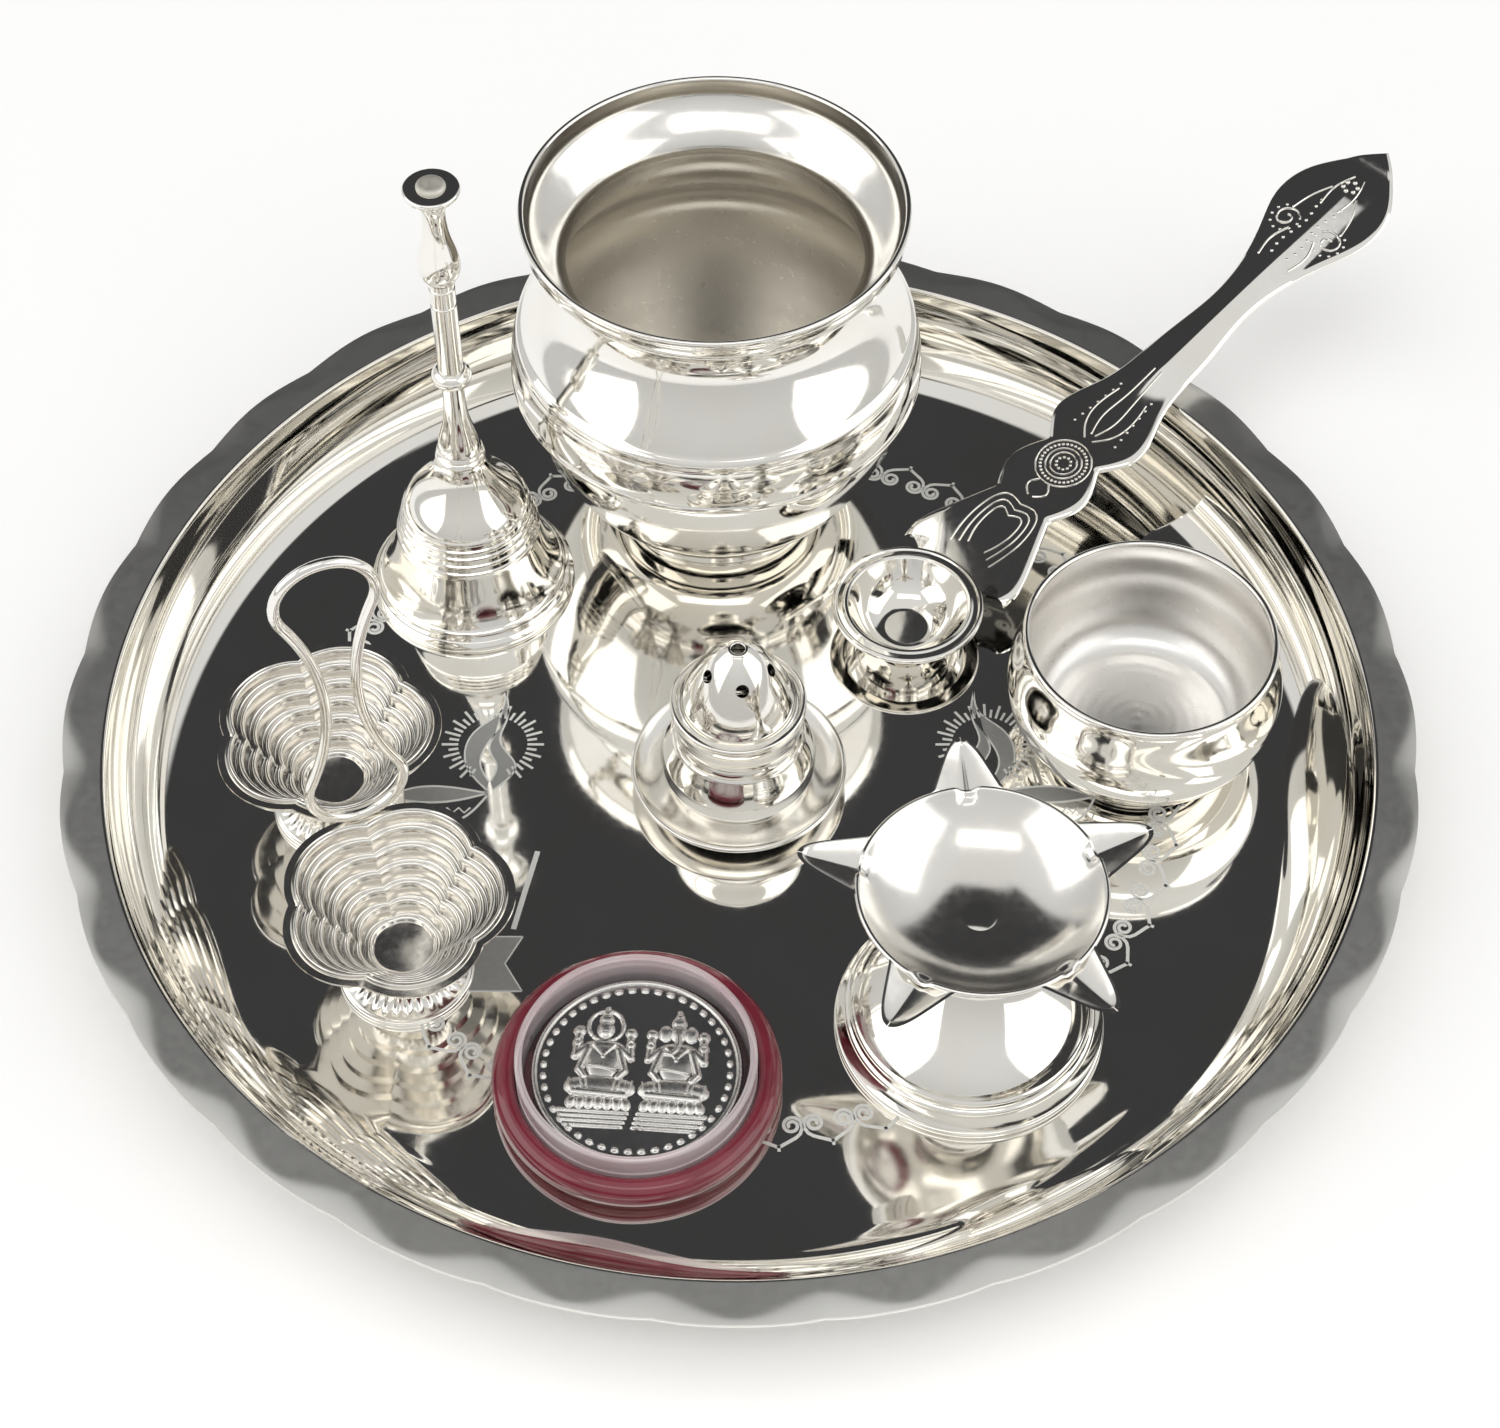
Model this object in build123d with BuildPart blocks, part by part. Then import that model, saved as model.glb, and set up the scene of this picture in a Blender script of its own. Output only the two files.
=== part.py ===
"""Puja thali: a round scalloped tray and the eight ritual vessels that stand on it.

Millimetres, +Z up. The origin is the middle of the tray's underside. Every vessel has its own
upright axis, and its heights are counted from the tray's floor, which it stands on.
"""
import os
from math import cos, radians, sin, sqrt

from build123d import *

os.makedirs("parts", exist_ok=True)

# Shared clearances and the count of arcs along a wall's section
profile_arcs = 7
overrun = 2.0
rivet_fit = 0.1
lift_fit = 0.25

# Tray
plate_r = 127.0
plate_sheet = 1.2
plate_depth = 17.0
flange_width = 8.0
scallop_count = 28
scallop_depth = 0.8

# Lota, the water pot
lota_x = -4.65
lota_y = 72.2
lota_wall = 1.0
lota_ring_r = 21.8
lota_ring_width = 2.6
lota_ring_height = 5.6
lota_belly_r = 39.2
lota_belly_z = 46.0
lota_throat_r = 29.5
lota_throat_z = 65.0
lota_rim_r = 37.0
lota_rim_z = 78.0
lota_lip_bead_r = 0.7
lota_mouth_shares = ((0.20, 0.26), (0.62, 0.48), (0.95, 0.74))
lota_belly_bead_r = 1.0
lota_lower_shares = (0.78, 0.40)
lota_bead_shares = (0.54, 0.70)

# Hand bell
bell_x = -53.9
bell_y = 47.5
bell_wall = 1.2
bell_lip_r = 20.4
bell_lip_width = 1.8
bell_lip_height = 2.4
bell_waist_r = 13.9
bell_waist_z = 16.0
bell_shoulder_r = 11.6
bell_shoulder_z = 24.0
bell_crown_r = 4.9
bell_crown_z = 37.5
bell_bead_r = 0.95
bell_dome_shares = ((0.05, 0.26), (0.32, 0.54), (0.68, 0.78))
bell_flare_shares = (0.30, 0.50)
bell_arcs = 11
bell_band_shares = (0.0, 0.5, 1.0)
bell_cone_height = 18.5
bell_cone_foot_r = 4.7
bell_cone_foot_height = 0.8
bell_cone_neck_r = 2.1
bell_cone_flare_share = 0.55
bell_collar_height = 3.6
bell_collar_r = 3.8
bell_tube_height = 24.4
bell_tube_r = 2.4
bell_groove_depth = 0.35
bell_groove_shares = (0.69, 0.86)
bell_finial_height = 20.3
bell_finial_neck_r = 1.9
bell_bulb_r = 3.9
bell_bulb_shares = (0.08, 0.42)
bell_finial_flare_share = 0.58
bell_flange_r = 5.2
bell_flange_height = 1.2
bell_rod_r = 1.0
bell_rod_head_r = 2.7
bell_rod_head_height = 0.8
bell_shoulder_disc_r = 2.4
bell_shoulder_disc_height = 1.2
bell_tab_thickness = 1.6
bell_tab_half_width = 1.8
bell_pivot_drop = 4.5
clapper_pin_r = 0.75
clapper_pin_fit = 0.06
clapper_cheek_gap = 0.3
clapper_cheek_thickness = 0.9
clapper_bridge_drop = 2.6
clapper_bridge_height = 1.2
clapper_stem_r = 0.9
clapper_ball_r = 3.2
clapper_ball_z = 6.6

# Kumkum stand: two flower cups under one wire handle
kumkum_x = -60.6
kumkum_y = -47.7
kumkum_turn = 112.4
kumkum_wall = 0.9
petal_count = 5
terrace_count = 6
lip_petal_r = 21.3
lip_valley_r = 18.9
mouth_petal_r = 18.9
mouth_valley_r = 16.6
well_share = 0.42
cup_rim_z = 24.0
cup_well_z = 8.0
cup_gap = 0.2
kumkum_foot_r = 12.4
kumkum_foot_edge = 1.4
kumkum_foot_top_r = 8.2
kumkum_foot_bore_r = 5.0
kumkum_foot_neck_share = 0.75
wire_r = 1.0
wire_loop_r = 8.7
wire_waist = 3.0
wire_height = 68.0
wire_flat = 0.35

# Incense holder
incense_x = -0.2
incense_y = -3.9
incense_sheet = 1.0
incense_foot_r = 11.0
incense_foot_width = 2.5
incense_foot_height = 2.6
saucer_r = 20.5
saucer_floor_r = 13.6
saucer_rise = 1.7
saucer_rim_slope = (1.0, 0.6)
vase_foot_r = 14.4
vase_floor_r = 12.2
vase_waist_r = 12.0
vase_rim_r = 12.7
vase_height = 20.3
vase_shares = (0.12, 0.76)
cap_height = 15.8
cap_base_r = 10.9
cap_spigot_depth = 2.4
cap_seat_width = 2.7
cap_dome_shares = (0.64, 0.52)
cap_top_slope = (1.0, -0.7)
cap_ring_width = 0.75
cap_ring_height = 1.4
cap_base_slope = (0.2, -1.0)
stick_hole_r = 1.25
stick_hole_count = 5
stick_hole_shares = (0.52, 0.64)
stick_hole_tilt = 50.0
stick_hole_turn = -82.5
rivet_r = 1.5
rivet_head_r = 3.0
rivet_head_height = 1.2

# Aarti spoon lamp
aarti_x = 33.1
aarti_y = 33.3
aarti_wall = 1.0
aarti_rim_r = 15.0
aarti_rim_z = 8.5
aarti_lip_width = 2.8
aarti_base_r = 4.0
aarti_rim_slope = (0.5, 1.0)
handle_turn = 44.5
handle_rise = 11.5
handle_sheet = 1.0
handle_length = 133.5
handle_half_width = 13.6
handle_rib_width = 1.8
handle_rib_height = 0.5
handle_rib_shares = (0.42, 0.90)
handle_disc_share = 0.235
handle_disc_r = 5.0
handle_disc_ring = 0.8
handle_root_shares = ((0.0, 0.62), (0.04, 1.0), (0.10, 0.86), (0.175, 0.52))
handle_lobe_shares = ((0.175, 0.52), (0.225, 0.72), (0.285, 0.49))
handle_arm_shares = ((0.285, 0.49), (0.335, 0.79), (0.415, 0.58), (0.53, 0.44), (0.63, 0.34), (0.71, 0.43),
                     (0.78, 0.66), (0.845, 0.88), (0.905, 0.80), (0.95, 0.50))
handle_tip_shares = ((0.95, 0.50), (0.975, 0.28), (1.0, 0.0))

# Katori bowl
katori_x = 76.8
katori_y = 7.4
katori_wall = 1.2
katori_ring_r = 16.0
katori_ring_width = 2.4
katori_ring_height = 2.6
katori_belly_r = 26.0
katori_belly_z = 17.0
katori_rim_r = 23.8
katori_rim_z = 30.0
katori_lip_bead_r = 0.9

# Five-spout lamp
diya_x = 41.4
diya_y = -58.5
diya_wall = 1.0
diya_base_r = 24.3
diya_base_edge = 2.2
diya_neck_r = 5.6
diya_seat_r = 8.6
diya_seat_z = 32.8
diya_dome_shares = ((0.80, 0.17), (0.42, 0.38), (0.06, 0.68))
diya_bowl_r = 22.1
diya_bowl_height = 9.7
diya_bowl_outside = (0.50, 0.32)
diya_bowl_inside = (0.556, 0.263)
diya_well_r = 3.2
spout_count = 5
spout_turn = 22.4
spout_reach = 32.4
spout_root_r = 13.0
spout_root_width = 19.0
spout_root_depth = 7.6
spout_tip_width = 3.0
spout_tip_depth = 2.0
spout_notch_width = 2.2
spout_notch_depth = 1.6
spout_inner_tip_share = 0.40
spout_setback = 0.2

# Coin in its capsule and ring
coin_x = -18.0
coin_y = -71.5
holder_r = 25.8
holder_height = 6.0
holder_ledge_width = 4.0
holder_ledge_height = 1.2
holder_round_share = 0.46
capsule_r = 21.4
capsule_sheet = 1.2
capsule_height = 8.6
capsule_fit = 0.15
coin_r = 18.6
coin_thickness = 2.4
coin_rim_width = 1.0
coin_rim_height = 0.3


def stand(x, y):
    """Point on the tray's floor that a vessel's axis starts from."""
    return Vector(x, y, plate_sheet)


def upright(place):
    """Plane through a vessel's axis: x is the radius, y the height above the floor."""
    return Plane(origin=place, x_dir=(1, 0, 0), z_dir=(0, -1, 0))


def axis_at(place):
    """A vessel's upright axis."""
    return Axis(place, (0, 0, 1))


def polar(radius, angle):
    """Point at a radius and an angle in degrees."""
    return (radius * cos(radians(angle)), radius * sin(radians(angle)))


def between(low, high, share):
    """Value at a share of the way from low to high."""
    return low + (high - low) * share


def shell(path, wall, count):
    """Outline a wall of even thickness along a line: arcs on each side and the lines that close them."""
    ends = []
    for side in (-1, 1):
        places = []
        for i in range(count * 2 + 1):
            forward = path % (i / count / 2)
            places.append(path @ (i / count / 2) + Vector(forward.Y, -forward.X) * (wall / 2 * side))
        for i in range(count):
            ThreePointArc(*places[i * 2 : i * 2 + 3])
        ends.append((places[0], places[-1]))
    Line(ends[0][0], ends[1][0])
    Line(ends[0][1], ends[1][1])


def save(piece, name):
    """Label a finished piece and write its file."""
    piece.part.label = name
    export_step(piece.part, f"parts/{name}.step")


# Tray: a flat floor, a quarter-round wall and a flat flange with a scalloped edge
flange_inner_r = plate_r - flange_width
floor_r = flange_inner_r - plate_depth
rim_top = plate_sheet + plate_depth
scallop_step = 360 / scallop_count

with BuildPart() as thali_plate:
    with BuildSketch(Plane.XZ):
        with BuildLine():
            floor_line = Line((0, plate_sheet / 2), (floor_r, plate_sheet / 2))
            wall_top = (flange_inner_r, plate_sheet / 2 + plate_depth)
            TangentArc(floor_line @ 1, wall_top, tangent=floor_line % 1)
        trace(line_width=plate_sheet)
    revolve(axis=Axis.Z)
    with BuildSketch(Plane.XY.offset(rim_top - plate_sheet)):
        with BuildLine():
            for i in range(scallop_count):
                middle = i * scallop_step
                ThreePointArc(
                    polar(plate_r - scallop_depth, middle - scallop_step / 2),
                    polar(plate_r, middle),
                    polar(plate_r - scallop_depth, middle + scallop_step / 2),
                )
        make_face()
        Circle(flange_inner_r - plate_sheet / 2, mode=Mode.SUBTRACT)
    extrude(amount=plate_sheet)
save(thali_plate, "thali_plate")


# Lota: foot ring, spun bowl and flared mouth
lota_place = stand(lota_x, lota_y)
lota_axis = axis_at(lota_place)
lota_mid_throat_r = lota_throat_r - lota_wall / 2

with BuildPart() as lota_foot_ring:
    ring_top = (lota_ring_r - lota_ring_width / 2, lota_ring_height)
    with BuildSketch(upright(lota_place)):
        with BuildLine():
            Polyline(
                (lota_ring_r, 0),
                (lota_ring_r - lota_ring_width, 0),
                (lota_ring_r - lota_ring_width, lota_ring_height),
                ring_top,
            )
            RadiusArc(ring_top, (lota_ring_r, 0), lota_ring_height)
        make_face()
    revolve(axis=lota_axis)
save(lota_foot_ring, "lota_foot_ring")

with BuildPart() as lota_bowl:
    lota_flat_r = lota_ring_r - lota_ring_width / 2
    lota_floor_z = lota_ring_height + lota_wall / 2
    lota_mid_belly_r = lota_belly_r - lota_wall / 2
    with BuildSketch(upright(lota_place)):
        with BuildLine():
            belly = Spline(
                (lota_flat_r, lota_floor_z),
                (
                    between(lota_flat_r, lota_mid_belly_r, lota_lower_shares[0]),
                    between(lota_floor_z, lota_belly_z, lota_lower_shares[1]),
                ),
                (lota_mid_belly_r, lota_belly_z),
                (lota_mid_throat_r, lota_throat_z),
                tangents=[(1, 0), (0, 1)],
                mode=Mode.PRIVATE,
            )
            shell(belly, lota_wall, profile_arcs)
        make_face()
        with Locations((lota_flat_r / 2, lota_floor_z)):
            Rectangle(lota_flat_r, lota_wall)
        with Locations(*[belly @ share for share in lota_bead_shares]):
            Circle(lota_belly_bead_r)
    revolve(axis=lota_axis)
save(lota_bowl, "lota_bowl")

with BuildPart() as lota_mouth:
    lip_r = lota_rim_r - lota_lip_bead_r
    lip_z = lota_rim_z - lota_lip_bead_r
    with BuildSketch(upright(lota_place)):
        with BuildLine():
            neck = Spline(
                (lota_mid_throat_r, lota_throat_z),
                *[
                    (between(lota_mid_throat_r, lip_r, out), between(lota_throat_z, lip_z, up))
                    for out, up in lota_mouth_shares
                ],
                (lip_r, lip_z),
                tangents=[(0, 1), (0, 1)],
                mode=Mode.PRIVATE,
            )
            shell(neck, lota_wall, profile_arcs)
        make_face()
        with Locations((lip_r, lip_z)):
            Circle(lota_lip_bead_r)
    revolve(axis=lota_axis)
save(lota_mouth, "lota_mouth")


# Hand bell: skirt, stacked handle pieces, the rod that clamps them and the clapper under it
bell_place = stand(bell_x, bell_y)
bell_axis = axis_at(bell_place)
bell_bore_r = bell_rod_r + rivet_fit
bell_cone_z = bell_crown_z
bell_collar_z = bell_cone_z + bell_cone_height
bell_tube_z = bell_collar_z + bell_collar_height
bell_finial_z = bell_tube_z + bell_tube_height
bell_top_z = bell_finial_z + bell_finial_height
bell_under_crown_z = bell_crown_z - bell_wall
bell_disc_z = bell_under_crown_z - bell_shoulder_disc_height
bell_pivot_z = bell_disc_z - bell_pivot_drop

with BuildPart() as bell_skirt:
    crown_mid_r = bell_crown_r - bell_wall / 2
    crown_mid_z = bell_crown_z - bell_wall / 2
    shoulder_mid_r = bell_shoulder_r - bell_wall / 2
    waist_mid_r = bell_waist_r - bell_wall / 2
    lip_mid_r = bell_lip_r - bell_lip_width / 2
    lip_mid_z = bell_lip_height / 2
    with BuildSketch(upright(bell_place)):
        with BuildLine():
            dome = Spline(
                (crown_mid_r, bell_crown_z),
                *[
                    (between(crown_mid_r, shoulder_mid_r, out), between(bell_crown_z, bell_shoulder_z, down))
                    for out, down in bell_dome_shares
                ],
                (shoulder_mid_r, bell_shoulder_z),
                (waist_mid_r, bell_waist_z),
                (
                    between(waist_mid_r, lip_mid_r, bell_flare_shares[0]),
                    between(bell_waist_z, lip_mid_z, bell_flare_shares[1]),
                ),
                (lip_mid_r, lip_mid_z),
                tangents=[(0, -1), (1, -1)],
                mode=Mode.PRIVATE,
            )
            shell(dome, bell_wall, bell_arcs)
        make_face()
        with Locations(((bell_bore_r + crown_mid_r) / 2, crown_mid_z)):
            Rectangle(crown_mid_r - bell_bore_r, bell_wall)
        with Locations(
            *[
                (
                    between(shoulder_mid_r, waist_mid_r, share),
                    between(bell_shoulder_z, bell_waist_z, share),
                )
                for share in bell_band_shares
            ]
        ):
            Circle(bell_bead_r)
        with Locations((lip_mid_r, lip_mid_z)):
            Rectangle(bell_lip_width, bell_lip_height)
    revolve(axis=bell_axis)
save(bell_skirt, "bell_skirt")

with BuildPart() as bell_handle_cone:
    cone_flare_z = bell_cone_z + bell_cone_height * bell_cone_flare_share
    cone_foot_z = bell_cone_z + bell_cone_foot_height
    with BuildSketch(upright(bell_place)):
        with BuildLine():
            Polyline(
                (bell_cone_neck_r, cone_flare_z),
                (bell_cone_neck_r, bell_collar_z),
                (bell_bore_r, bell_collar_z),
                (bell_bore_r, bell_cone_z),
                (bell_cone_foot_r, bell_cone_z),
                (bell_cone_foot_r, cone_foot_z),
            )
            Spline(
                (bell_cone_foot_r, cone_foot_z),
                (bell_cone_neck_r, cone_flare_z),
                tangents=[(-1, 0), (0, 1)],
            )
        make_face()
    revolve(axis=bell_axis)
save(bell_handle_cone, "bell_handle_cone")

with BuildPart() as bell_handle_collar:
    with BuildSketch(upright(bell_place)):
        with BuildLine():
            Polyline(
                (bell_tube_r, bell_tube_z),
                (bell_bore_r, bell_tube_z),
                (bell_bore_r, bell_collar_z),
                (bell_tube_r, bell_collar_z),
            )
            ThreePointArc(
                (bell_tube_r, bell_collar_z),
                (bell_collar_r, (bell_collar_z + bell_tube_z) / 2),
                (bell_tube_r, bell_tube_z),
            )
        make_face()
    revolve(axis=bell_axis)
save(bell_handle_collar, "bell_handle_collar")

with BuildPart() as bell_handle_tube:
    with BuildSketch(upright(bell_place)):
        with Locations(((bell_bore_r + bell_tube_r) / 2, (bell_tube_z + bell_finial_z) / 2)):
            Rectangle(bell_tube_r - bell_bore_r, bell_tube_height)
        groove_heights = [bell_tube_z + bell_tube_height * share for share in bell_groove_shares]
        with Locations(*[(bell_tube_r, height) for height in groove_heights]):
            Circle(bell_groove_depth, mode=Mode.SUBTRACT)
    revolve(axis=bell_axis)
save(bell_handle_tube, "bell_handle_tube")

with BuildPart() as bell_handle_finial:
    bulb_low_z = bell_finial_z + bell_finial_height * bell_bulb_shares[0]
    bulb_high_z = bell_finial_z + bell_finial_height * bell_bulb_shares[1]
    finial_flare_z = bell_finial_z + bell_finial_height * bell_finial_flare_share
    flange_z = bell_top_z - bell_flange_height
    with BuildSketch(upright(bell_place)):
        with BuildLine():
            Polyline(
                (bell_flange_r, flange_z),
                (bell_flange_r, bell_top_z),
                (bell_bore_r, bell_top_z),
                (bell_bore_r, bell_finial_z),
                (bell_finial_neck_r, bell_finial_z),
                (bell_finial_neck_r, bulb_low_z),
            )
            ThreePointArc(
                (bell_finial_neck_r, bulb_low_z),
                (bell_bulb_r, (bulb_low_z + bulb_high_z) / 2),
                (bell_finial_neck_r, bulb_high_z),
            )
            Line((bell_finial_neck_r, bulb_high_z), (bell_finial_neck_r, finial_flare_z))
            Spline(
                (bell_finial_neck_r, finial_flare_z),
                (bell_flange_r, flange_z),
                tangents=[(0, 1), (1, 0)],
            )
        make_face()
    revolve(axis=bell_axis)
save(bell_handle_finial, "bell_handle_finial")

with BuildPart() as bell_tie_rod:
    with BuildSketch(upright(bell_place)):
        with BuildLine():
            Polyline(
                (0, bell_top_z + bell_rod_head_height),
                (0, bell_disc_z),
                (bell_shoulder_disc_r, bell_disc_z),
                (bell_shoulder_disc_r, bell_under_crown_z),
                (bell_rod_r, bell_under_crown_z),
                (bell_rod_r, bell_top_z),
                (bell_rod_head_r, bell_top_z),
            )
            Spline(
                (bell_rod_head_r, bell_top_z),
                (0, bell_top_z + bell_rod_head_height),
                tangents=[(0, 1), (-1, 0)],
            )
        make_face()
    revolve(axis=bell_axis)
    tab_side = bell_place + Vector(-bell_tab_thickness / 2, 0, 0)
    with BuildSketch(Plane(tab_side, x_dir=(0, 1, 0), z_dir=(1, 0, 0))):
        with Locations((0, (bell_pivot_z + bell_disc_z) / 2)):
            Rectangle(bell_tab_half_width * 2, bell_pivot_drop)
        with Locations((0, bell_pivot_z)):
            Circle(bell_tab_half_width)
            Circle(clapper_pin_r + clapper_pin_fit, mode=Mode.SUBTRACT)
    extrude(amount=bell_tab_thickness)
save(bell_tie_rod, "bell_tie_rod")

with BuildPart() as bell_clapper:
    cheek_inner = bell_tab_thickness / 2 + clapper_cheek_gap
    cheek_outer = cheek_inner + clapper_cheek_thickness
    bridge_low = clapper_bridge_drop + clapper_bridge_height
    for side in (-1, 1):
        cheek_start = bell_place + Vector(side * cheek_inner, 0, bell_pivot_z)
        with BuildSketch(Plane(cheek_start, x_dir=(0, 1, 0), z_dir=(1, 0, 0))):
            Circle(bell_tab_half_width)
            with Locations((0, -bridge_low / 2)):
                Rectangle(bell_tab_half_width * 2, bridge_low)
        extrude(amount=side * clapper_cheek_thickness)
    with Locations(bell_place + Vector(0, 0, bell_pivot_z - bridge_low)):
        Box(
            cheek_outer * 2,
            bell_tab_half_width * 2,
            clapper_bridge_height,
            align=(Align.CENTER, Align.CENTER, Align.MIN),
        )
    with Locations(bell_place + Vector(0, 0, bell_pivot_z)):
        Cylinder(clapper_pin_r, cheek_outer * 2, rotation=(0, 90, 0))
    with Locations(bell_place + Vector(0, 0, clapper_ball_z)):
        Sphere(clapper_ball_r)
        Cylinder(
            clapper_stem_r,
            bell_pivot_z - bridge_low - clapper_ball_z + clapper_bridge_height / 2,
            align=(Align.CENTER, Align.CENTER, Align.MIN),
        )
save(bell_clapper, "bell_clapper")


# Kumkum stand: two terraced flower cups, their feet and a waisted wire loop soldered on their lips
petal_half = radians(180 / petal_count)
petal_centre = (lip_petal_r**2 - lip_valley_r**2) / (2 * (lip_petal_r - lip_valley_r * cos(petal_half)))
petal_round = lip_petal_r - petal_centre
petal_contact = sqrt((2 * petal_round + cup_gap) ** 2 - (petal_centre * sin(petal_half)) ** 2)
cup_spacing = petal_centre * (1 + cos(petal_half)) + petal_contact
kumkum_along = Vector(*polar(1, kumkum_turn))
kumkum_across = Vector(*polar(1, kumkum_turn - 90))
kumkum_front = stand(kumkum_x, kumkum_y)
kumkum_back = kumkum_front + kumkum_along * cup_spacing
foot_top_z = cup_well_z - kumkum_wall


def flower(petal_r, valley_r):
    """Outline of round petals that reach petal_r and meet at valley_r, one petal opposite the turn."""
    step = 360 / petal_count
    for i in range(petal_count):
        middle = kumkum_turn + 180 + i * step
        ThreePointArc(
            polar(valley_r, middle - step / 2),
            polar(petal_r, middle),
            polar(valley_r, middle + step / 2),
        )


def flower_layer(place, petal_r, valley_r, low_z, high_z, mode):
    """Add or cut one flower-shaped layer between two heights."""
    with BuildSketch(Plane(place + Vector(0, 0, low_z))) as layer:
        with BuildLine():
            flower(petal_r, valley_r)
        make_face()
    extrude(layer.sketch, amount=high_z - low_z, mode=mode)


for name, place in (("front", kumkum_front), ("back", kumkum_back)):
    terrace_height = (cup_rim_z - cup_well_z) / terrace_count
    with BuildPart() as kumkum_cup:
        flower_layer(place, lip_petal_r, lip_valley_r, cup_rim_z - kumkum_wall, cup_rim_z, Mode.ADD)
        for i in range(terrace_count):
            share = between(1, well_share, i / (terrace_count - 1))
            high_z = cup_rim_z - i * terrace_height
            flower_layer(
                place,
                mouth_petal_r * share + kumkum_wall,
                mouth_valley_r * share + kumkum_wall,
                high_z - terrace_height - kumkum_wall,
                high_z,
                Mode.ADD,
            )
        for i in range(terrace_count):
            share = between(1, well_share, i / (terrace_count - 1))
            high_z = cup_rim_z - i * terrace_height
            flower_layer(
                place,
                mouth_petal_r * share,
                mouth_valley_r * share,
                high_z - terrace_height,
                high_z,
                Mode.SUBTRACT,
            )
    save(kumkum_cup, f"kumkum_cup_{name}")

    with BuildPart() as kumkum_foot:
        with BuildSketch(upright(place)):
            with BuildLine():
                neck_z = foot_top_z * kumkum_foot_neck_share
                Polyline(
                    (kumkum_foot_top_r, neck_z),
                    (kumkum_foot_top_r, foot_top_z),
                    (kumkum_foot_bore_r, foot_top_z),
                    (kumkum_foot_bore_r, 0),
                    (kumkum_foot_r, 0),
                    (kumkum_foot_r, kumkum_foot_edge),
                )
                Spline(
                    (kumkum_foot_r, kumkum_foot_edge),
                    (kumkum_foot_top_r, neck_z),
                    tangents=[(-1, 0), (0, 1)],
                )
            make_face()
        revolve(axis=axis_at(place))
    save(kumkum_foot, f"kumkum_foot_{name}")

with BuildPart() as kumkum_wire_handle:
    seam_reach = (lip_valley_r + cup_spacing - lip_petal_r) / 2
    wire_place = kumkum_front + kumkum_along * seam_reach + Vector(0, 0, cup_rim_z)
    wire_plane = Plane(wire_place, x_dir=kumkum_across, z_dir=-kumkum_along)
    wire_low = wire_r - wire_flat
    wire_half = wire_height / 2 - wire_loop_r
    waist_r = (wire_waist**2 + wire_half**2 - wire_loop_r**2) / (2 * (wire_loop_r - wire_waist))
    reach_share = wire_loop_r / (wire_loop_r + waist_r)
    touch_x = (wire_waist + waist_r) * reach_share
    low_centre = wire_low + wire_loop_r
    high_centre = low_centre + wire_half * 2
    low_touch = low_centre + wire_half * reach_share
    high_touch = high_centre - wire_half * reach_share
    waist_z = low_centre + wire_half
    with BuildLine(wire_plane) as wire_path:
        ThreePointArc((-touch_x, low_touch), (0, wire_low), (touch_x, low_touch))
        ThreePointArc((touch_x, low_touch), (wire_waist, waist_z), (touch_x, high_touch))
        ThreePointArc((touch_x, high_touch), (0, high_centre + wire_loop_r), (-touch_x, high_touch))
        ThreePointArc((-touch_x, high_touch), (-wire_waist, waist_z), (-touch_x, low_touch))
    with BuildSketch(Plane(wire_path.line @ 0, z_dir=wire_path.line % 0)):
        Circle(wire_r)
    sweep(path=wire_path.line)
    with Locations(wire_plane.location):
        Box(
            wire_loop_r * 2,
            wire_flat * 2,
            wire_r * 4,
            align=(Align.CENTER, Align.MAX, Align.CENTER),
            mode=Mode.SUBTRACT,
        )
save(kumkum_wire_handle, "kumkum_wire_handle")


# Incense holder: ring foot, ash saucer and vase on one rivet, and a lift-off cap with stick holes
incense_place = stand(incense_x, incense_y)
incense_axis = axis_at(incense_place)
incense_bore_r = rivet_r + rivet_fit
saucer_z = incense_foot_height
vase_z = saucer_z + incense_sheet
vase_rim_z = vase_z + vase_height

with BuildPart() as incense_foot:
    with BuildSketch(upright(incense_place)):
        with Locations((incense_foot_r - incense_foot_width / 2, incense_foot_height / 2)):
            Rectangle(incense_foot_width, incense_foot_height)
    revolve(axis=incense_axis)
save(incense_foot, "incense_foot")

with BuildPart() as incense_saucer:
    saucer_mid_z = saucer_z + incense_sheet / 2
    with BuildSketch(upright(incense_place)):
        with BuildLine():
            dish = Spline(
                (saucer_floor_r, saucer_mid_z),
                (saucer_r - incense_sheet / 4, saucer_mid_z + saucer_rise),
                tangents=[(1, 0), saucer_rim_slope],
                mode=Mode.PRIVATE,
            )
            shell(dish, incense_sheet, profile_arcs)
        make_face()
        with Locations(((incense_bore_r + saucer_floor_r) / 2, saucer_mid_z)):
            Rectangle(saucer_floor_r - incense_bore_r, incense_sheet)
    revolve(axis=incense_axis)
save(incense_saucer, "incense_saucer")

with BuildPart() as incense_vase:
    vase_floor_z = vase_z + incense_sheet / 2
    vase_mid_foot_r = vase_foot_r - incense_sheet / 2
    with BuildSketch(upright(incense_place)):
        with BuildLine():
            side_line = Spline(
                (vase_floor_r, vase_floor_z),
                (vase_mid_foot_r, vase_z + vase_height * vase_shares[0]),
                (vase_waist_r - incense_sheet / 2, vase_z + vase_height * vase_shares[1]),
                (vase_rim_r - incense_sheet / 2, vase_rim_z),
                tangents=[(1, 0), (0, 1)],
                mode=Mode.PRIVATE,
            )
            shell(side_line, incense_sheet, profile_arcs)
        make_face()
        with Locations(((incense_bore_r + vase_floor_r) / 2, vase_floor_z)):
            Rectangle(vase_floor_r - incense_bore_r, incense_sheet)
    revolve(axis=incense_axis)
save(incense_vase, "incense_vase")

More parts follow.
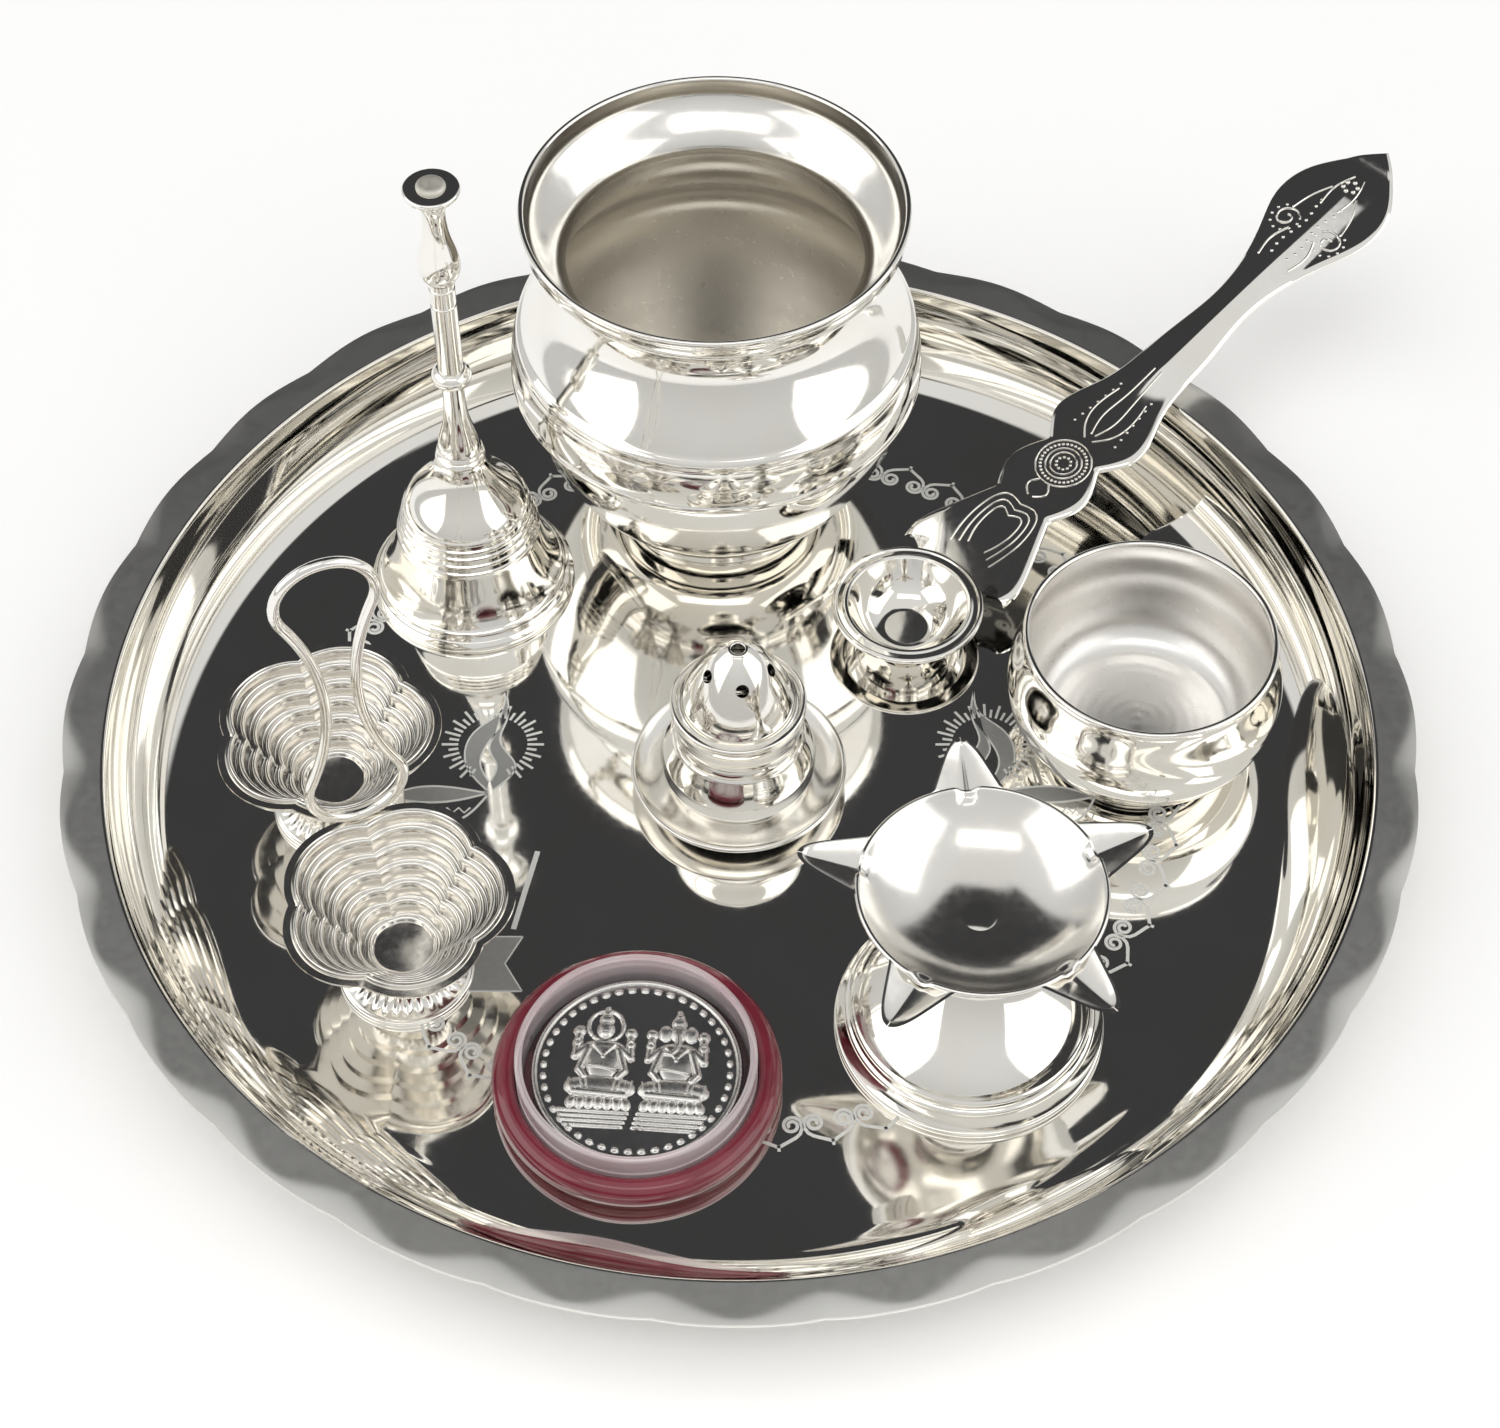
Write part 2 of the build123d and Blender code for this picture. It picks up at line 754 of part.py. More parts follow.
with BuildPart(Plane(incense_place)) as incense_cap:
    spigot_r = vase_rim_r - incense_sheet - lift_fit
    cap_foot_z = vase_rim_z + incense_sheet
    cap_top_z = vase_rim_z + cap_height
    spigot_height = cap_spigot_depth + incense_sheet
    with BuildSketch(upright(incense_place)):
        with BuildLine():
            dome = Spline(
                (stick_hole_r + cap_ring_width / 2, cap_top_z - cap_ring_height / 2),
                (cap_base_r * cap_dome_shares[0], between(cap_foot_z, cap_top_z, cap_dome_shares[1])),
                (cap_base_r - incense_sheet / 2, cap_foot_z - incense_sheet / 2),
                tangents=[cap_top_slope, cap_base_slope],
                mode=Mode.PRIVATE,
            )
            shell(dome, incense_sheet, profile_arcs)
        make_face()
        with Locations((spigot_r - incense_sheet / 2, cap_foot_z - spigot_height / 2)):
            Rectangle(incense_sheet, spigot_height)
        with Locations((vase_rim_r - cap_seat_width / 2, vase_rim_z + incense_sheet / 2)):
            Rectangle(cap_seat_width, incense_sheet)
        with Locations((stick_hole_r + cap_ring_width / 2, cap_top_z - cap_ring_height / 2)):
            Rectangle(cap_ring_width, cap_ring_height)
    revolve(axis=incense_axis)
    with Locations((0, 0, between(cap_foot_z, cap_top_z, stick_hole_shares[1]))):
        with PolarLocations(cap_base_r * stick_hole_shares[0], stick_hole_count, start_angle=stick_hole_turn):
            Cylinder(
                stick_hole_r,
                incense_sheet * 2 + overrun * 2,
                rotation=(0, stick_hole_tilt, 0),
                mode=Mode.SUBTRACT,
            )
save(incense_cap, "incense_cap")

with BuildPart() as incense_rivet:
    rivet_low_z = saucer_z - rivet_head_height
    rivet_high_z = vase_z + incense_sheet
    with BuildSketch(upright(incense_place)):
        with BuildLine():
            Polyline(
                (0, rivet_low_z),
                (rivet_head_r, rivet_low_z),
                (rivet_head_r, saucer_z),
                (rivet_r, saucer_z),
                (rivet_r, rivet_high_z),
                (rivet_head_r, rivet_high_z),
                (rivet_head_r, rivet_high_z + rivet_head_height),
                (0, rivet_high_z + rivet_head_height),
                close=True,
            )
        make_face()
    revolve(axis=incense_axis)
save(incense_rivet, "incense_rivet")


# Aarti spoon lamp: a shallow lipped cup and a stamped handle soldered to the lip
aarti_place = stand(aarti_x, aarti_y)
aarti_axis = axis_at(aarti_place)

with BuildPart() as aarti_cup:
    cup_wall_r = aarti_rim_r - aarti_lip_width
    cup_lip_z = aarti_rim_z - aarti_wall / 2
    with BuildSketch(upright(aarti_place)):
        with BuildLine():
            side_line = Spline(
                (aarti_base_r, aarti_wall / 2),
                (cup_wall_r, cup_lip_z),
                tangents=[(1, 0), aarti_rim_slope],
                mode=Mode.PRIVATE,
            )
            shell(side_line, aarti_wall, profile_arcs)
        make_face()
        with Locations((aarti_base_r / 2, aarti_wall / 2)):
            Rectangle(aarti_base_r, aarti_wall)
        with Locations((aarti_rim_r - aarti_lip_width / 2 - aarti_wall / 4, cup_lip_z)):
            Rectangle(aarti_lip_width + aarti_wall / 2, aarti_wall)
    revolve(axis=aarti_axis)
save(aarti_cup, "aarti_cup")

handle_along = Vector(*polar(1, handle_turn))
handle_slope = handle_along * cos(radians(handle_rise)) + Vector(0, 0, sin(radians(handle_rise)))
handle_across = Vector(*polar(1, handle_turn + 90))
handle_root = aarti_place + handle_along * aarti_rim_r + Vector(0, 0, aarti_rim_z - aarti_wall / 2)
handle_plane = Plane(handle_root, x_dir=handle_slope, z_dir=handle_slope.cross(handle_across))
handle_setback = aarti_rim_r - aarti_lip_width * 2


def handle_points(shares, side):
    """Places on one side of the handle's edge, from shares of its length and half width."""
    return [
        (between(handle_setback - aarti_rim_r, handle_length, along), handle_half_width * across * side)
        for along, across in shares
    ]


with BuildPart() as aarti_handle:
    with BuildSketch(handle_plane.offset(-handle_sheet / 2)):
        with BuildLine():
            for side in (1, -1):
                for shares in (handle_root_shares, handle_lobe_shares, handle_arm_shares, handle_tip_shares):
                    Spline(*handle_points(shares, side))
            Line(*handle_points(handle_root_shares[:1], 1), *handle_points(handle_root_shares[:1], -1))
        make_face()
    extrude(amount=handle_sheet)
    with BuildSketch(handle_plane.offset(handle_sheet / 2)):
        rib_low = handle_length * handle_rib_shares[0]
        rib_high = handle_length * handle_rib_shares[1]
        with Locations(((rib_low + rib_high) / 2, 0)):
            SlotOverall(rib_high - rib_low, handle_rib_width)
        with Locations((handle_length * handle_disc_share, 0)):
            Circle(handle_disc_r)
            Circle(handle_disc_r - handle_disc_ring, mode=Mode.SUBTRACT)
    extrude(amount=handle_rib_height)
    with Locations(aarti_place):
        Cylinder(
            aarti_rim_r,
            aarti_rim_z * 2 + overrun,
            align=(Align.CENTER, Align.CENTER, Align.MIN),
            mode=Mode.SUBTRACT,
        )
save(aarti_handle, "aarti_handle")


# Katori: a round bowl on a soldered ring
katori_place = stand(katori_x, katori_y)
katori_axis = axis_at(katori_place)

with BuildPart() as katori_foot_ring:
    with BuildSketch(upright(katori_place)):
        with Locations((katori_ring_r - katori_ring_width / 2, katori_ring_height / 2)):
            Rectangle(katori_ring_width, katori_ring_height)
    revolve(axis=katori_axis)
save(katori_foot_ring, "katori_foot_ring")

with BuildPart() as katori_bowl:
    katori_floor_z = katori_ring_height + katori_wall / 2
    with BuildSketch(upright(katori_place)):
        with BuildLine():
            side_line = Spline(
                (katori_ring_r, katori_floor_z),
                (katori_belly_r - katori_wall / 2, katori_belly_z),
                (katori_rim_r - katori_wall / 2, katori_rim_z - katori_lip_bead_r),
                tangents=[(1, 0), (0, 1)],
                mode=Mode.PRIVATE,
            )
            shell(side_line, katori_wall, profile_arcs)
        make_face()
        with Locations((katori_ring_r / 2, katori_floor_z)):
            Rectangle(katori_ring_r, katori_wall)
        with Locations((katori_rim_r - katori_lip_bead_r, katori_rim_z - katori_lip_bead_r)):
            Circle(katori_lip_bead_r)
    revolve(axis=katori_axis)
save(katori_bowl, "katori_bowl")


# Five-spout lamp: domed pedestal, bowl with pointed spouts and the rivet between them
diya_place = stand(diya_x, diya_y)
diya_axis = axis_at(diya_place)
diya_bore_r = rivet_r + rivet_fit
diya_rim_z = diya_seat_z + diya_bowl_height

with BuildPart() as diya_pedestal:
    seat_mid_z = diya_seat_z - diya_wall / 2
    edge_mid_r = diya_base_r - diya_wall / 2
    with BuildSketch(upright(diya_place)):
        with BuildLine():
            side_line = Spline(
                (edge_mid_r, diya_base_edge),
                *[
                    (between(diya_neck_r, edge_mid_r, out), between(diya_base_edge, seat_mid_z, up))
                    for out, up in diya_dome_shares
                ],
                (diya_seat_r, seat_mid_z),
                tangents=[(-1, 1), (1, 1)],
                mode=Mode.PRIVATE,
            )
            shell(side_line, diya_wall, profile_arcs)
        make_face()
        with Locations((diya_base_r - diya_base_edge / 2, diya_base_edge / 2)):
            Rectangle(diya_base_edge, diya_base_edge)
        with Locations(((diya_bore_r + diya_seat_r) / 2, seat_mid_z)):
            Rectangle(diya_seat_r - diya_bore_r, diya_wall)
        with Locations((0, diya_seat_z)):
            Rectangle(diya_base_r, diya_wall * 2, align=(Align.MIN, Align.MIN), mode=Mode.SUBTRACT)
    revolve(axis=diya_axis)
save(diya_pedestal, "diya_pedestal")


def spout_section(radius, width, depth, headroom):
    """Cross-section of a spout: a rounded trough that hangs from the rim's level."""
    with BuildSketch(Plane((radius, 0, 0), x_dir=(0, 1, 0), z_dir=(1, 0, 0))) as section:
        with BuildLine():
            Polyline((width / 2, 0), (width / 2, headroom), (-width / 2, headroom), (-width / 2, 0))
            ThreePointArc((-width / 2, 0), (0, -depth), (width / 2, 0))
        make_face()
    return section.sketch


spout_root = spout_section(spout_root_r, spout_root_width, spout_root_depth, diya_wall / 2)
spout_tip = spout_section(spout_reach, spout_tip_width, spout_tip_depth, diya_wall / 2)
with BuildPart() as spout_outside:
    loft(sections=[spout_root, spout_tip])

channel_start_r = diya_bowl_r - spout_setback
channel_share = (channel_start_r - spout_root_r) / (spout_reach - spout_root_r)
channel_root = spout_section(
    channel_start_r,
    between(spout_root_width, spout_tip_width, channel_share) - diya_wall * 2,
    between(spout_root_depth, spout_tip_depth, channel_share) - diya_wall,
    overrun,
)
channel_tip = spout_section(
    spout_reach - diya_wall,
    spout_tip_width * spout_inner_tip_share,
    spout_tip_depth * spout_inner_tip_share,
    overrun,
)
with BuildPart() as spout_inside:
    loft(sections=[channel_root, channel_tip])


def bowl_outline(seat_r, low_z, rim_r, high_z, inner_r, bulge):
    """Closed half section of the lamp's dish, from its flat seat up to its rim."""
    Polyline((seat_r, low_z), (inner_r, low_z), (inner_r, high_z), (rim_r, high_z))
    ThreePointArc(
        (seat_r, low_z),
        (between(seat_r, rim_r, bulge[0]), between(low_z, high_z, bulge[1])),
        (rim_r, high_z),
    )


with BuildPart(Plane(diya_place)) as diya_bowl:
    with BuildSketch(upright(diya_place)):
        with BuildLine():
            bowl_outline(diya_seat_r, diya_seat_z, diya_bowl_r, diya_rim_z, diya_bore_r, diya_bowl_outside)
        make_face()
    revolve(axis=diya_axis)
    with Locations((0, 0, diya_rim_z - diya_wall / 2)):
        with PolarLocations(0, spout_count, start_angle=spout_turn):
            add(spout_outside.part)
    with BuildSketch(upright(diya_place)):
        with BuildLine():
            inside_r = diya_bowl_r - diya_wall
            bowl_outline(diya_well_r, diya_seat_z + diya_wall, inside_r, diya_rim_z, 0, diya_bowl_inside)
        make_face()
        with Locations((0, diya_rim_z)):
            Rectangle(inside_r, overrun, align=(Align.MIN, Align.MIN))
    revolve(axis=diya_axis, mode=Mode.SUBTRACT)
    with Locations((0, 0, diya_rim_z - diya_wall / 2)):
        with PolarLocations(0, spout_count, start_angle=spout_turn):
            add(spout_inside.part, mode=Mode.SUBTRACT)
    with Locations((0, 0, diya_rim_z)):
        with PolarLocations(diya_bowl_r - diya_wall / 2, spout_count, start_angle=spout_turn):
            Box(diya_wall * 3, spout_notch_width, spout_notch_depth * 2, mode=Mode.SUBTRACT)
save(diya_bowl, "diya_bowl")

with BuildPart() as diya_rivet:
    rivet_low_z = diya_seat_z - diya_wall
    rivet_high_z = diya_seat_z + diya_wall
    with BuildSketch(upright(diya_place)):
        with BuildLine():
            Polyline(
                (0, rivet_low_z - rivet_head_height),
                (rivet_head_r, rivet_low_z - rivet_head_height),
                (rivet_head_r, rivet_low_z),
                (rivet_r, rivet_low_z),
                (rivet_r, rivet_high_z),
                (rivet_head_r, rivet_high_z),
                (rivet_head_r, rivet_high_z + rivet_head_height),
                (0, rivet_high_z + rivet_head_height),
                close=True,
            )
        make_face()
    revolve(axis=diya_axis)
save(diya_rivet, "diya_rivet")


# Coin set: a coloured ring that holds a clear capsule, and the coin inside it
coin_place = stand(coin_x, coin_y)
coin_axis = axis_at(coin_place)
holder_bore_r = capsule_r + lift_fit
capsule_z = holder_ledge_height
capsule_wall_r = capsule_r - capsule_sheet

with BuildPart() as coin_holder_ring:
    with BuildSketch(upright(coin_place)):
        ring_width = holder_r - holder_bore_r
        with Locations((holder_bore_r, 0)):
            Rectangle(ring_width, holder_height, align=(Align.MIN, Align.MIN))
        with Locations((holder_bore_r - holder_ledge_width, 0)):
            Rectangle(holder_ledge_width + ring_width / 2, holder_ledge_height, align=(Align.MIN, Align.MIN))
    revolve(axis=coin_axis)
    fillet(
        coin_holder_ring.edges().filter_by(GeomType.CIRCLE).group_by(Axis.Z)[-1],
        radius=ring_width * holder_round_share,
    )
save(coin_holder_ring, "coin_holder_ring")

with BuildPart() as capsule_base:
    tray_wall_r = capsule_wall_r - capsule_fit
    tray_wall_top = capsule_z + capsule_sheet + coin_thickness + coin_rim_height * 2
    with BuildSketch(upright(coin_place)):
        with BuildLine():
            Polyline(
                (0, capsule_z),
                (capsule_r, capsule_z),
                (capsule_r, capsule_z + capsule_sheet),
                (tray_wall_r, capsule_z + capsule_sheet),
                (tray_wall_r, tray_wall_top),
                (tray_wall_r - capsule_sheet, tray_wall_top),
                (tray_wall_r - capsule_sheet, capsule_z + capsule_sheet),
                (0, capsule_z + capsule_sheet),
                close=True,
            )
        make_face()
    revolve(axis=coin_axis)
save(capsule_base, "capsule_base")

with BuildPart() as capsule_lid:
    lid_top = capsule_z + capsule_height
    with BuildSketch(upright(coin_place)):
        with BuildLine():
            Polyline(
                (0, lid_top),
                (capsule_r, lid_top),
                (capsule_r, capsule_z + capsule_sheet),
                (capsule_wall_r, capsule_z + capsule_sheet),
                (capsule_wall_r, lid_top - capsule_sheet),
                (0, lid_top - capsule_sheet),
                close=True,
            )
        make_face()
    revolve(axis=coin_axis)
save(capsule_lid, "capsule_lid")

with BuildPart() as coin:
    coin_z = capsule_z + capsule_sheet
    coin_top = coin_z + coin_thickness
    with BuildSketch(upright(coin_place)):
        with BuildLine():
            Polyline(
                (0, coin_z),
                (coin_r, coin_z),
                (coin_r, coin_top + coin_rim_height),
                (coin_r - coin_rim_width, coin_top + coin_rim_height),
                (coin_r - coin_rim_width, coin_top),
                (0, coin_top),
                close=True,
            )
        make_face()
    revolve(axis=coin_axis)
save(coin, "coin")
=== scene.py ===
"""Looks of the puja thali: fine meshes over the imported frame, procedural finishes and studio light."""
import math

import bmesh
import bpy
import numpy as np
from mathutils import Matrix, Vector


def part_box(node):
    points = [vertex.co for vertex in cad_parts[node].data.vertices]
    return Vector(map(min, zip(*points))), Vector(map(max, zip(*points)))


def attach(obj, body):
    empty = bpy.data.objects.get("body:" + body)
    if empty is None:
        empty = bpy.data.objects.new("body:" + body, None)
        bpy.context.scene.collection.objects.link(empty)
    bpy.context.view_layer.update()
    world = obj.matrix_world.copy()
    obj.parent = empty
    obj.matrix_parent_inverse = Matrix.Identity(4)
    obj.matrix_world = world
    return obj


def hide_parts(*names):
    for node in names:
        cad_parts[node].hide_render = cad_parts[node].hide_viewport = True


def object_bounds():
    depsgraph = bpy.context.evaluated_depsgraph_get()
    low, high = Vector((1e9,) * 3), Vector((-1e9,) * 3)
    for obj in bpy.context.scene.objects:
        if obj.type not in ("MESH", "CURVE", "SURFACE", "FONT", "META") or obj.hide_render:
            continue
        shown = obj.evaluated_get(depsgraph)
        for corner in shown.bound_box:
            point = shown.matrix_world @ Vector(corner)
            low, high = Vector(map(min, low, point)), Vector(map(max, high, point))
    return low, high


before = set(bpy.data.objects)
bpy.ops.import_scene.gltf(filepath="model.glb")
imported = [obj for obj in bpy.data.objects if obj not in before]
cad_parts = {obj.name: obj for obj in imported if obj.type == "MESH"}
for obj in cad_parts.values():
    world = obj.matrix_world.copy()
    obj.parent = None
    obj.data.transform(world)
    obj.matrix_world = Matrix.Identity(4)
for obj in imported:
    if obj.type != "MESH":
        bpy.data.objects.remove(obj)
cad_low, cad_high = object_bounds()

MM = 0.001
POLE = 1e-6
FULL = 2 * math.pi
SIDES = (-1, 1)
CREASE = 32.0
WALL = 1.0
STOUT_WALL = 1.2
floor_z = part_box("lota_foot_ring")[0].z


def axis_of(node):
    """Middle of a node's box in plan, at the height of the tray's floor."""
    low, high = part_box(node)
    return Vector(((low.x + high.x) / 2, (low.y + high.y) / 2, floor_z))


def unit(vector):
    """Vector of length one."""
    vector = np.asarray(vector, float)
    return vector / np.linalg.norm(vector)


def between(low, high, share):
    """Value at a share of the way from low to high."""
    return low + (high - low) * share


def smooth_step(low, high, value):
    """Zero below low, one above high and a smooth rise between."""
    share = np.clip((np.asarray(value, float) - low) / (high - low), 0, 1)
    return share * share * (3 - 2 * share)


def polar(radius, angle):
    """Point in plan at a radius and an angle."""
    return radius * math.cos(angle), radius * math.sin(angle)


# Paths in millimetres: radius and height for spun pieces, x and y for drawn ones
def spline(points, start=None, end=None, steps=16):
    """Smooth curve through the points, leaving along start and arriving along end."""
    points = np.asarray(points, float)
    count = len(points)
    spans = np.linalg.norm(np.diff(points, axis=0), axis=1)
    system = np.zeros((count, count))
    right = np.zeros((count, points.shape[1]))
    for i in range(1, count - 1):
        system[i, i - 1] = 1 / spans[i - 1]
        system[i, i] = 2 / spans[i - 1] + 2 / spans[i]
        system[i, i + 1] = 1 / spans[i]
        before = (points[i] - points[i - 1]) / spans[i - 1] ** 2
        after = (points[i + 1] - points[i]) / spans[i] ** 2
        right[i] = 3 * (before + after)
    for near, far, direction in ((0, 1, start), (count - 1, count - 2, end)):
        if direction is not None:
            system[near, near] = 1
            right[near] = unit(direction)
        else:
            system[near, near] = 2
            system[near, far] = 1
            first = min(near, far)
            right[near] = 3 * (points[first + 1] - points[first]) / spans[first]
    slopes = np.linalg.solve(system, right)
    t = np.linspace(0, 1, steps + 1)[:-1, None]
    pieces = []
    for i in range(count - 1):
        pieces.append(
            (2 * t**3 - 3 * t**2 + 1) * points[i]
            + (t**3 - 2 * t**2 + t) * spans[i] * slopes[i]
            + (3 * t**2 - 2 * t**3) * points[i + 1]
            + (t**3 - t**2) * spans[i] * slopes[i + 1]
        )
    return np.concatenate(pieces + [points[-1:]])


def arc(centre, radius, first, last, steps=12):
    """Points of a circular arc between two angles in degrees."""
    angles = np.radians(np.linspace(first, last, steps + 1))
    return np.column_stack((centre[0] + radius * np.cos(angles), centre[1] + radius * np.sin(angles)))


def chain(*paths):
    """One path from several, without doubled points where they meet."""
    points = []
    for path in paths:
        for point in np.asarray(path, float):
            if not points or np.linalg.norm(point - points[-1]) > 1e-5:
                points.append(point)
    return np.array(points)


def rounded(*corners):
    """Closed outline through the corners, each given as x, y and the radius that rounds it."""
    points = []
    count = len(corners)
    for i, (x, y, radius) in enumerate(corners):
        here = np.array((x, y), float)
        if radius == 0:
            points.append(here)
            continue
        back = unit(np.array(corners[i - 1][:2]) - here)
        ahead = unit(np.array(corners[(i + 1) % count][:2]) - here)
        half = math.acos(float(np.clip(np.dot(back, ahead), -1, 1))) / 2
        reach = radius / math.tan(half)
        centre = here + unit(back + ahead) * radius / math.sin(half)
        first = here + back * reach - centre
        last = here + ahead * reach - centre
        for share in np.linspace(0, 1, 7):
            points.append(centre + unit(first * (1 - share) + last * share) * radius)
    return np.array(points)


def beside(path, distances):
    """Path moved to its right by the given distances."""
    tangents = np.gradient(path, axis=0)
    tangents /= np.linalg.norm(tangents, axis=1)[:, None]
    normals = np.column_stack((tangents[:, 1], -tangents[:, 0]))
    return path + normals * np.asarray(distances)[:, None]


def sheet_side(path, distances):
    """One side of a spun sheet, which ends on the axis where its mid-line does."""
    moved = beside(path, distances)
    moved[:, 0] = np.where(path[:, 0] < POLE, 0, np.maximum(moved[:, 0], 0))
    return moved


def sheet(path, thickness, beads=(), round_end=True):
    """Closed section of sheet metal along a mid-line, and the index where its inner side begins.

    Each bead is its height above the floor, how far it stands out and its half width along the path.
    """
    lengths = np.concatenate(([0], np.cumsum(np.linalg.norm(np.diff(path, axis=0), axis=1))))
    lift = np.full(len(path), thickness / 2)
    for level, height, half_width in beads:
        middle = lengths[np.argmin(np.abs(path[:, 1] - level))]
        near = (lengths - middle) / half_width
        lift += height * np.sqrt(np.clip(1 - near**2, 0, 1))
    outer = sheet_side(path, lift)
    inner = sheet_side(path, np.full(len(path), -thickness / 2))
    parts = [outer]
    if round_end:
        middle = (outer[-1] + inner[-1]) / 2
        across = outer[-1] - middle
        along = unit(path[-1] - path[-2]) * np.linalg.norm(across)
        turns = np.radians(np.linspace(15, 165, 8))
        parts.append(np.array([middle + across * math.cos(a) + along * math.sin(a) for a in turns]))
    inner_from = sum(len(part) for part in parts)
    parts.append(inner[::-1])
    return np.concatenate(parts), inner_from


# Materials
def feed(tree, node, inputs):
    """Fill a node's inputs: a socket is linked, any other value is set."""
    for name, value in inputs.items():
        if isinstance(value, bpy.types.NodeSocket):
            tree.links.new(value, node.inputs[name])
        else:
            node.inputs[name].default_value = value


def add_node(tree, kind, inputs=None):
    """New node with its inputs filled."""
    node = tree.nodes.new(kind)
    feed(tree, node, inputs or {})
    return node


def new_material(name):
    """Material with its node tree and shader."""
    material = bpy.data.materials.new(name)
    material.use_nodes = True
    return material, material.node_tree, material.node_tree.nodes["Principled BSDF"]


def noise(tree, scale, detail, stretch=(1, 1, 1)):
    """Noise value in object space, stretched per axis."""
    spot = add_node(tree, "ShaderNodeTexCoord").outputs["Object"]
    spread = add_node(tree, "ShaderNodeMapping", {"Vector": spot, "Scale": stretch}).outputs["Vector"]
    inputs = {"Vector": spread, "Scale": scale, "Detail": detail}
    return add_node(tree, "ShaderNodeTexNoise", inputs).outputs["Fac"]


NOISE_LOW = 0.3
NOISE_HIGH = 0.7


def map_range(tree, source, low, high, first, last):
    """Node that turns values from low to high into values from first to last."""
    inputs = {"Value": source, "From Min": low, "From Max": high, "To Min": first, "To Max": last}
    return add_node(tree, "ShaderNodeMapRange", inputs)


def uneven(tree, source, low, high):
    """Noise value turned into a range of values."""
    return map_range(tree, source, NOISE_LOW, NOISE_HIGH, low, high).outputs["Result"]


def tint(tree, source, first, last):
    """Noise value turned into a colour between two."""
    ramp = add_node(tree, "ShaderNodeValToRGB", {"Fac": source})
    stops = ramp.color_ramp.elements
    for stop, position, colour in zip(stops, (NOISE_LOW, NOISE_HIGH), (first, last)):
        stop.position = position
        stop.color = (*colour, 1)
    return ramp.outputs["Color"]


def bump(tree, source, strength, distance):
    """Small relief from a texture value."""
    inputs = {"Height": source, "Strength": strength, "Distance": distance}
    return add_node(tree, "ShaderNodeBump", inputs).outputs["Normal"]


# Silver: scale and detail of each noise, and the depth of the relief in metres
TARNISH_NOISE = (45, 3)
GLOSS_NOISE = (700, 4)
SWAY_NOISE = (120, 2)
SWAY_RELIEF = 0.0004
LATHE_RELIEF = 0.0002
LATHE_SPACING = 0.35
LATHE_GLOSS_STRETCH = 0.6


def lathe_lines(tree):
    """Fine rings round the piece's own axis, as a lathe or a polishing wheel leaves them."""
    rings = add_node(tree, "ShaderNodeTexWave", {
        "Vector": add_node(tree, "ShaderNodeTexCoord").outputs["Object"],
        "Scale": 1 / (LATHE_SPACING * MM) / 20,
        "Distortion": 1.2,
        "Detail": 3,
    })
    rings.wave_type = "RINGS"
    rings.rings_direction = "Z"
    return rings.outputs["Fac"]


def silver(name, bright, tarnish, rough_low, rough_high, wave, lathe=0.0, grain=(1, 1, 1)):
    """Silver plate: faint colour drift, uneven gloss, and the waviness or the lathe lines of spun sheet."""
    material, tree, shader = new_material(name)
    inputs = {
        "Metallic": 1,
        "Base Color": tint(tree, noise(tree, *TARNISH_NOISE), tarnish, bright),
        "Roughness": uneven(tree, noise(tree, *GLOSS_NOISE, grain), rough_low, rough_high),
    }
    if lathe:
        turning = add_node(tree, "ShaderNodeTangent")
        turning.direction_type = "RADIAL"
        turning.axis = "Z"
        inputs["Anisotropic"] = LATHE_GLOSS_STRETCH
        inputs["Tangent"] = turning.outputs["Tangent"]
        inputs["Normal"] = bump(tree, lathe_lines(tree), lathe, LATHE_RELIEF)
    else:
        inputs["Normal"] = bump(tree, noise(tree, *SWAY_NOISE), wave, SWAY_RELIEF)
    feed(tree, shader, inputs)
    return material


def gloss_plastic(name, deep, pale, roughness):
    """Moulded glossy plastic with a slight drift in its colour and an orange-peel surface."""
    material, tree, shader = new_material(name)
    feed(tree, shader, {
        "Roughness": roughness,
        "IOR": 1.5,
        "Coat Weight": 0.5,
        "Coat Roughness": 0.04,
        "Base Color": tint(tree, noise(tree, 160, 3), deep, pale),
        "Normal": bump(tree, noise(tree, 900, 2), 0.05, 0.0001),
    })
    return material


def clear_plastic(name, pale, tinted, cover):
    """Clear moulded plastic; cover is the share of light its own surface keeps."""
    material, tree, shader = new_material(name)
    cloud = noise(tree, 90, 2)
    feed(tree, shader, {
        "Alpha": cover,
        "IOR": 1.5,
        "Coat Weight": 1,
        "Coat Roughness": 0.03,
        "Base Color": tint(tree, cloud, tinted, pale),
        "Roughness": uneven(tree, cloud, 0.04, 0.08),
    })
    return material


SILVER_WHITE = (0.93, 0.915, 0.88)
SILVER_WARM = (0.88, 0.855, 0.80)
mirror = silver("mirror_silver", SILVER_WHITE, SILVER_WARM, 0.03, 0.06, 0.015)
polished = silver("polished_silver", SILVER_WHITE, SILVER_WARM, 0.05, 0.10, 0.05)
stamped = silver("stamped_silver", SILVER_WHITE, (0.82, 0.79, 0.74), 0.09, 0.18, 0.10)
brushed = silver(
    "brushed_silver", (0.74, 0.735, 0.71), (0.66, 0.655, 0.63), 0.33, 0.37, 0.02, grain=(1, 1, 0.2),
)
soft = silver("soft_silver", (0.90, 0.885, 0.85), (0.84, 0.815, 0.77), 0.13, 0.20, 0.03)
satin = silver("satin_silver", (0.92, 0.885, 0.82), (0.88, 0.84, 0.77), 0.27, 0.31, 0.0, lathe=0.06)
pale_satin = silver(
    "pale_satin_silver", (0.92, 0.905, 0.88), (0.88, 0.86, 0.83), 0.27, 0.31, 0.0, lathe=0.06,
)
frosted = silver("frosted_silver", (0.94, 0.94, 0.92), (0.86, 0.86, 0.84), 0.80, 0.95, 0.20)
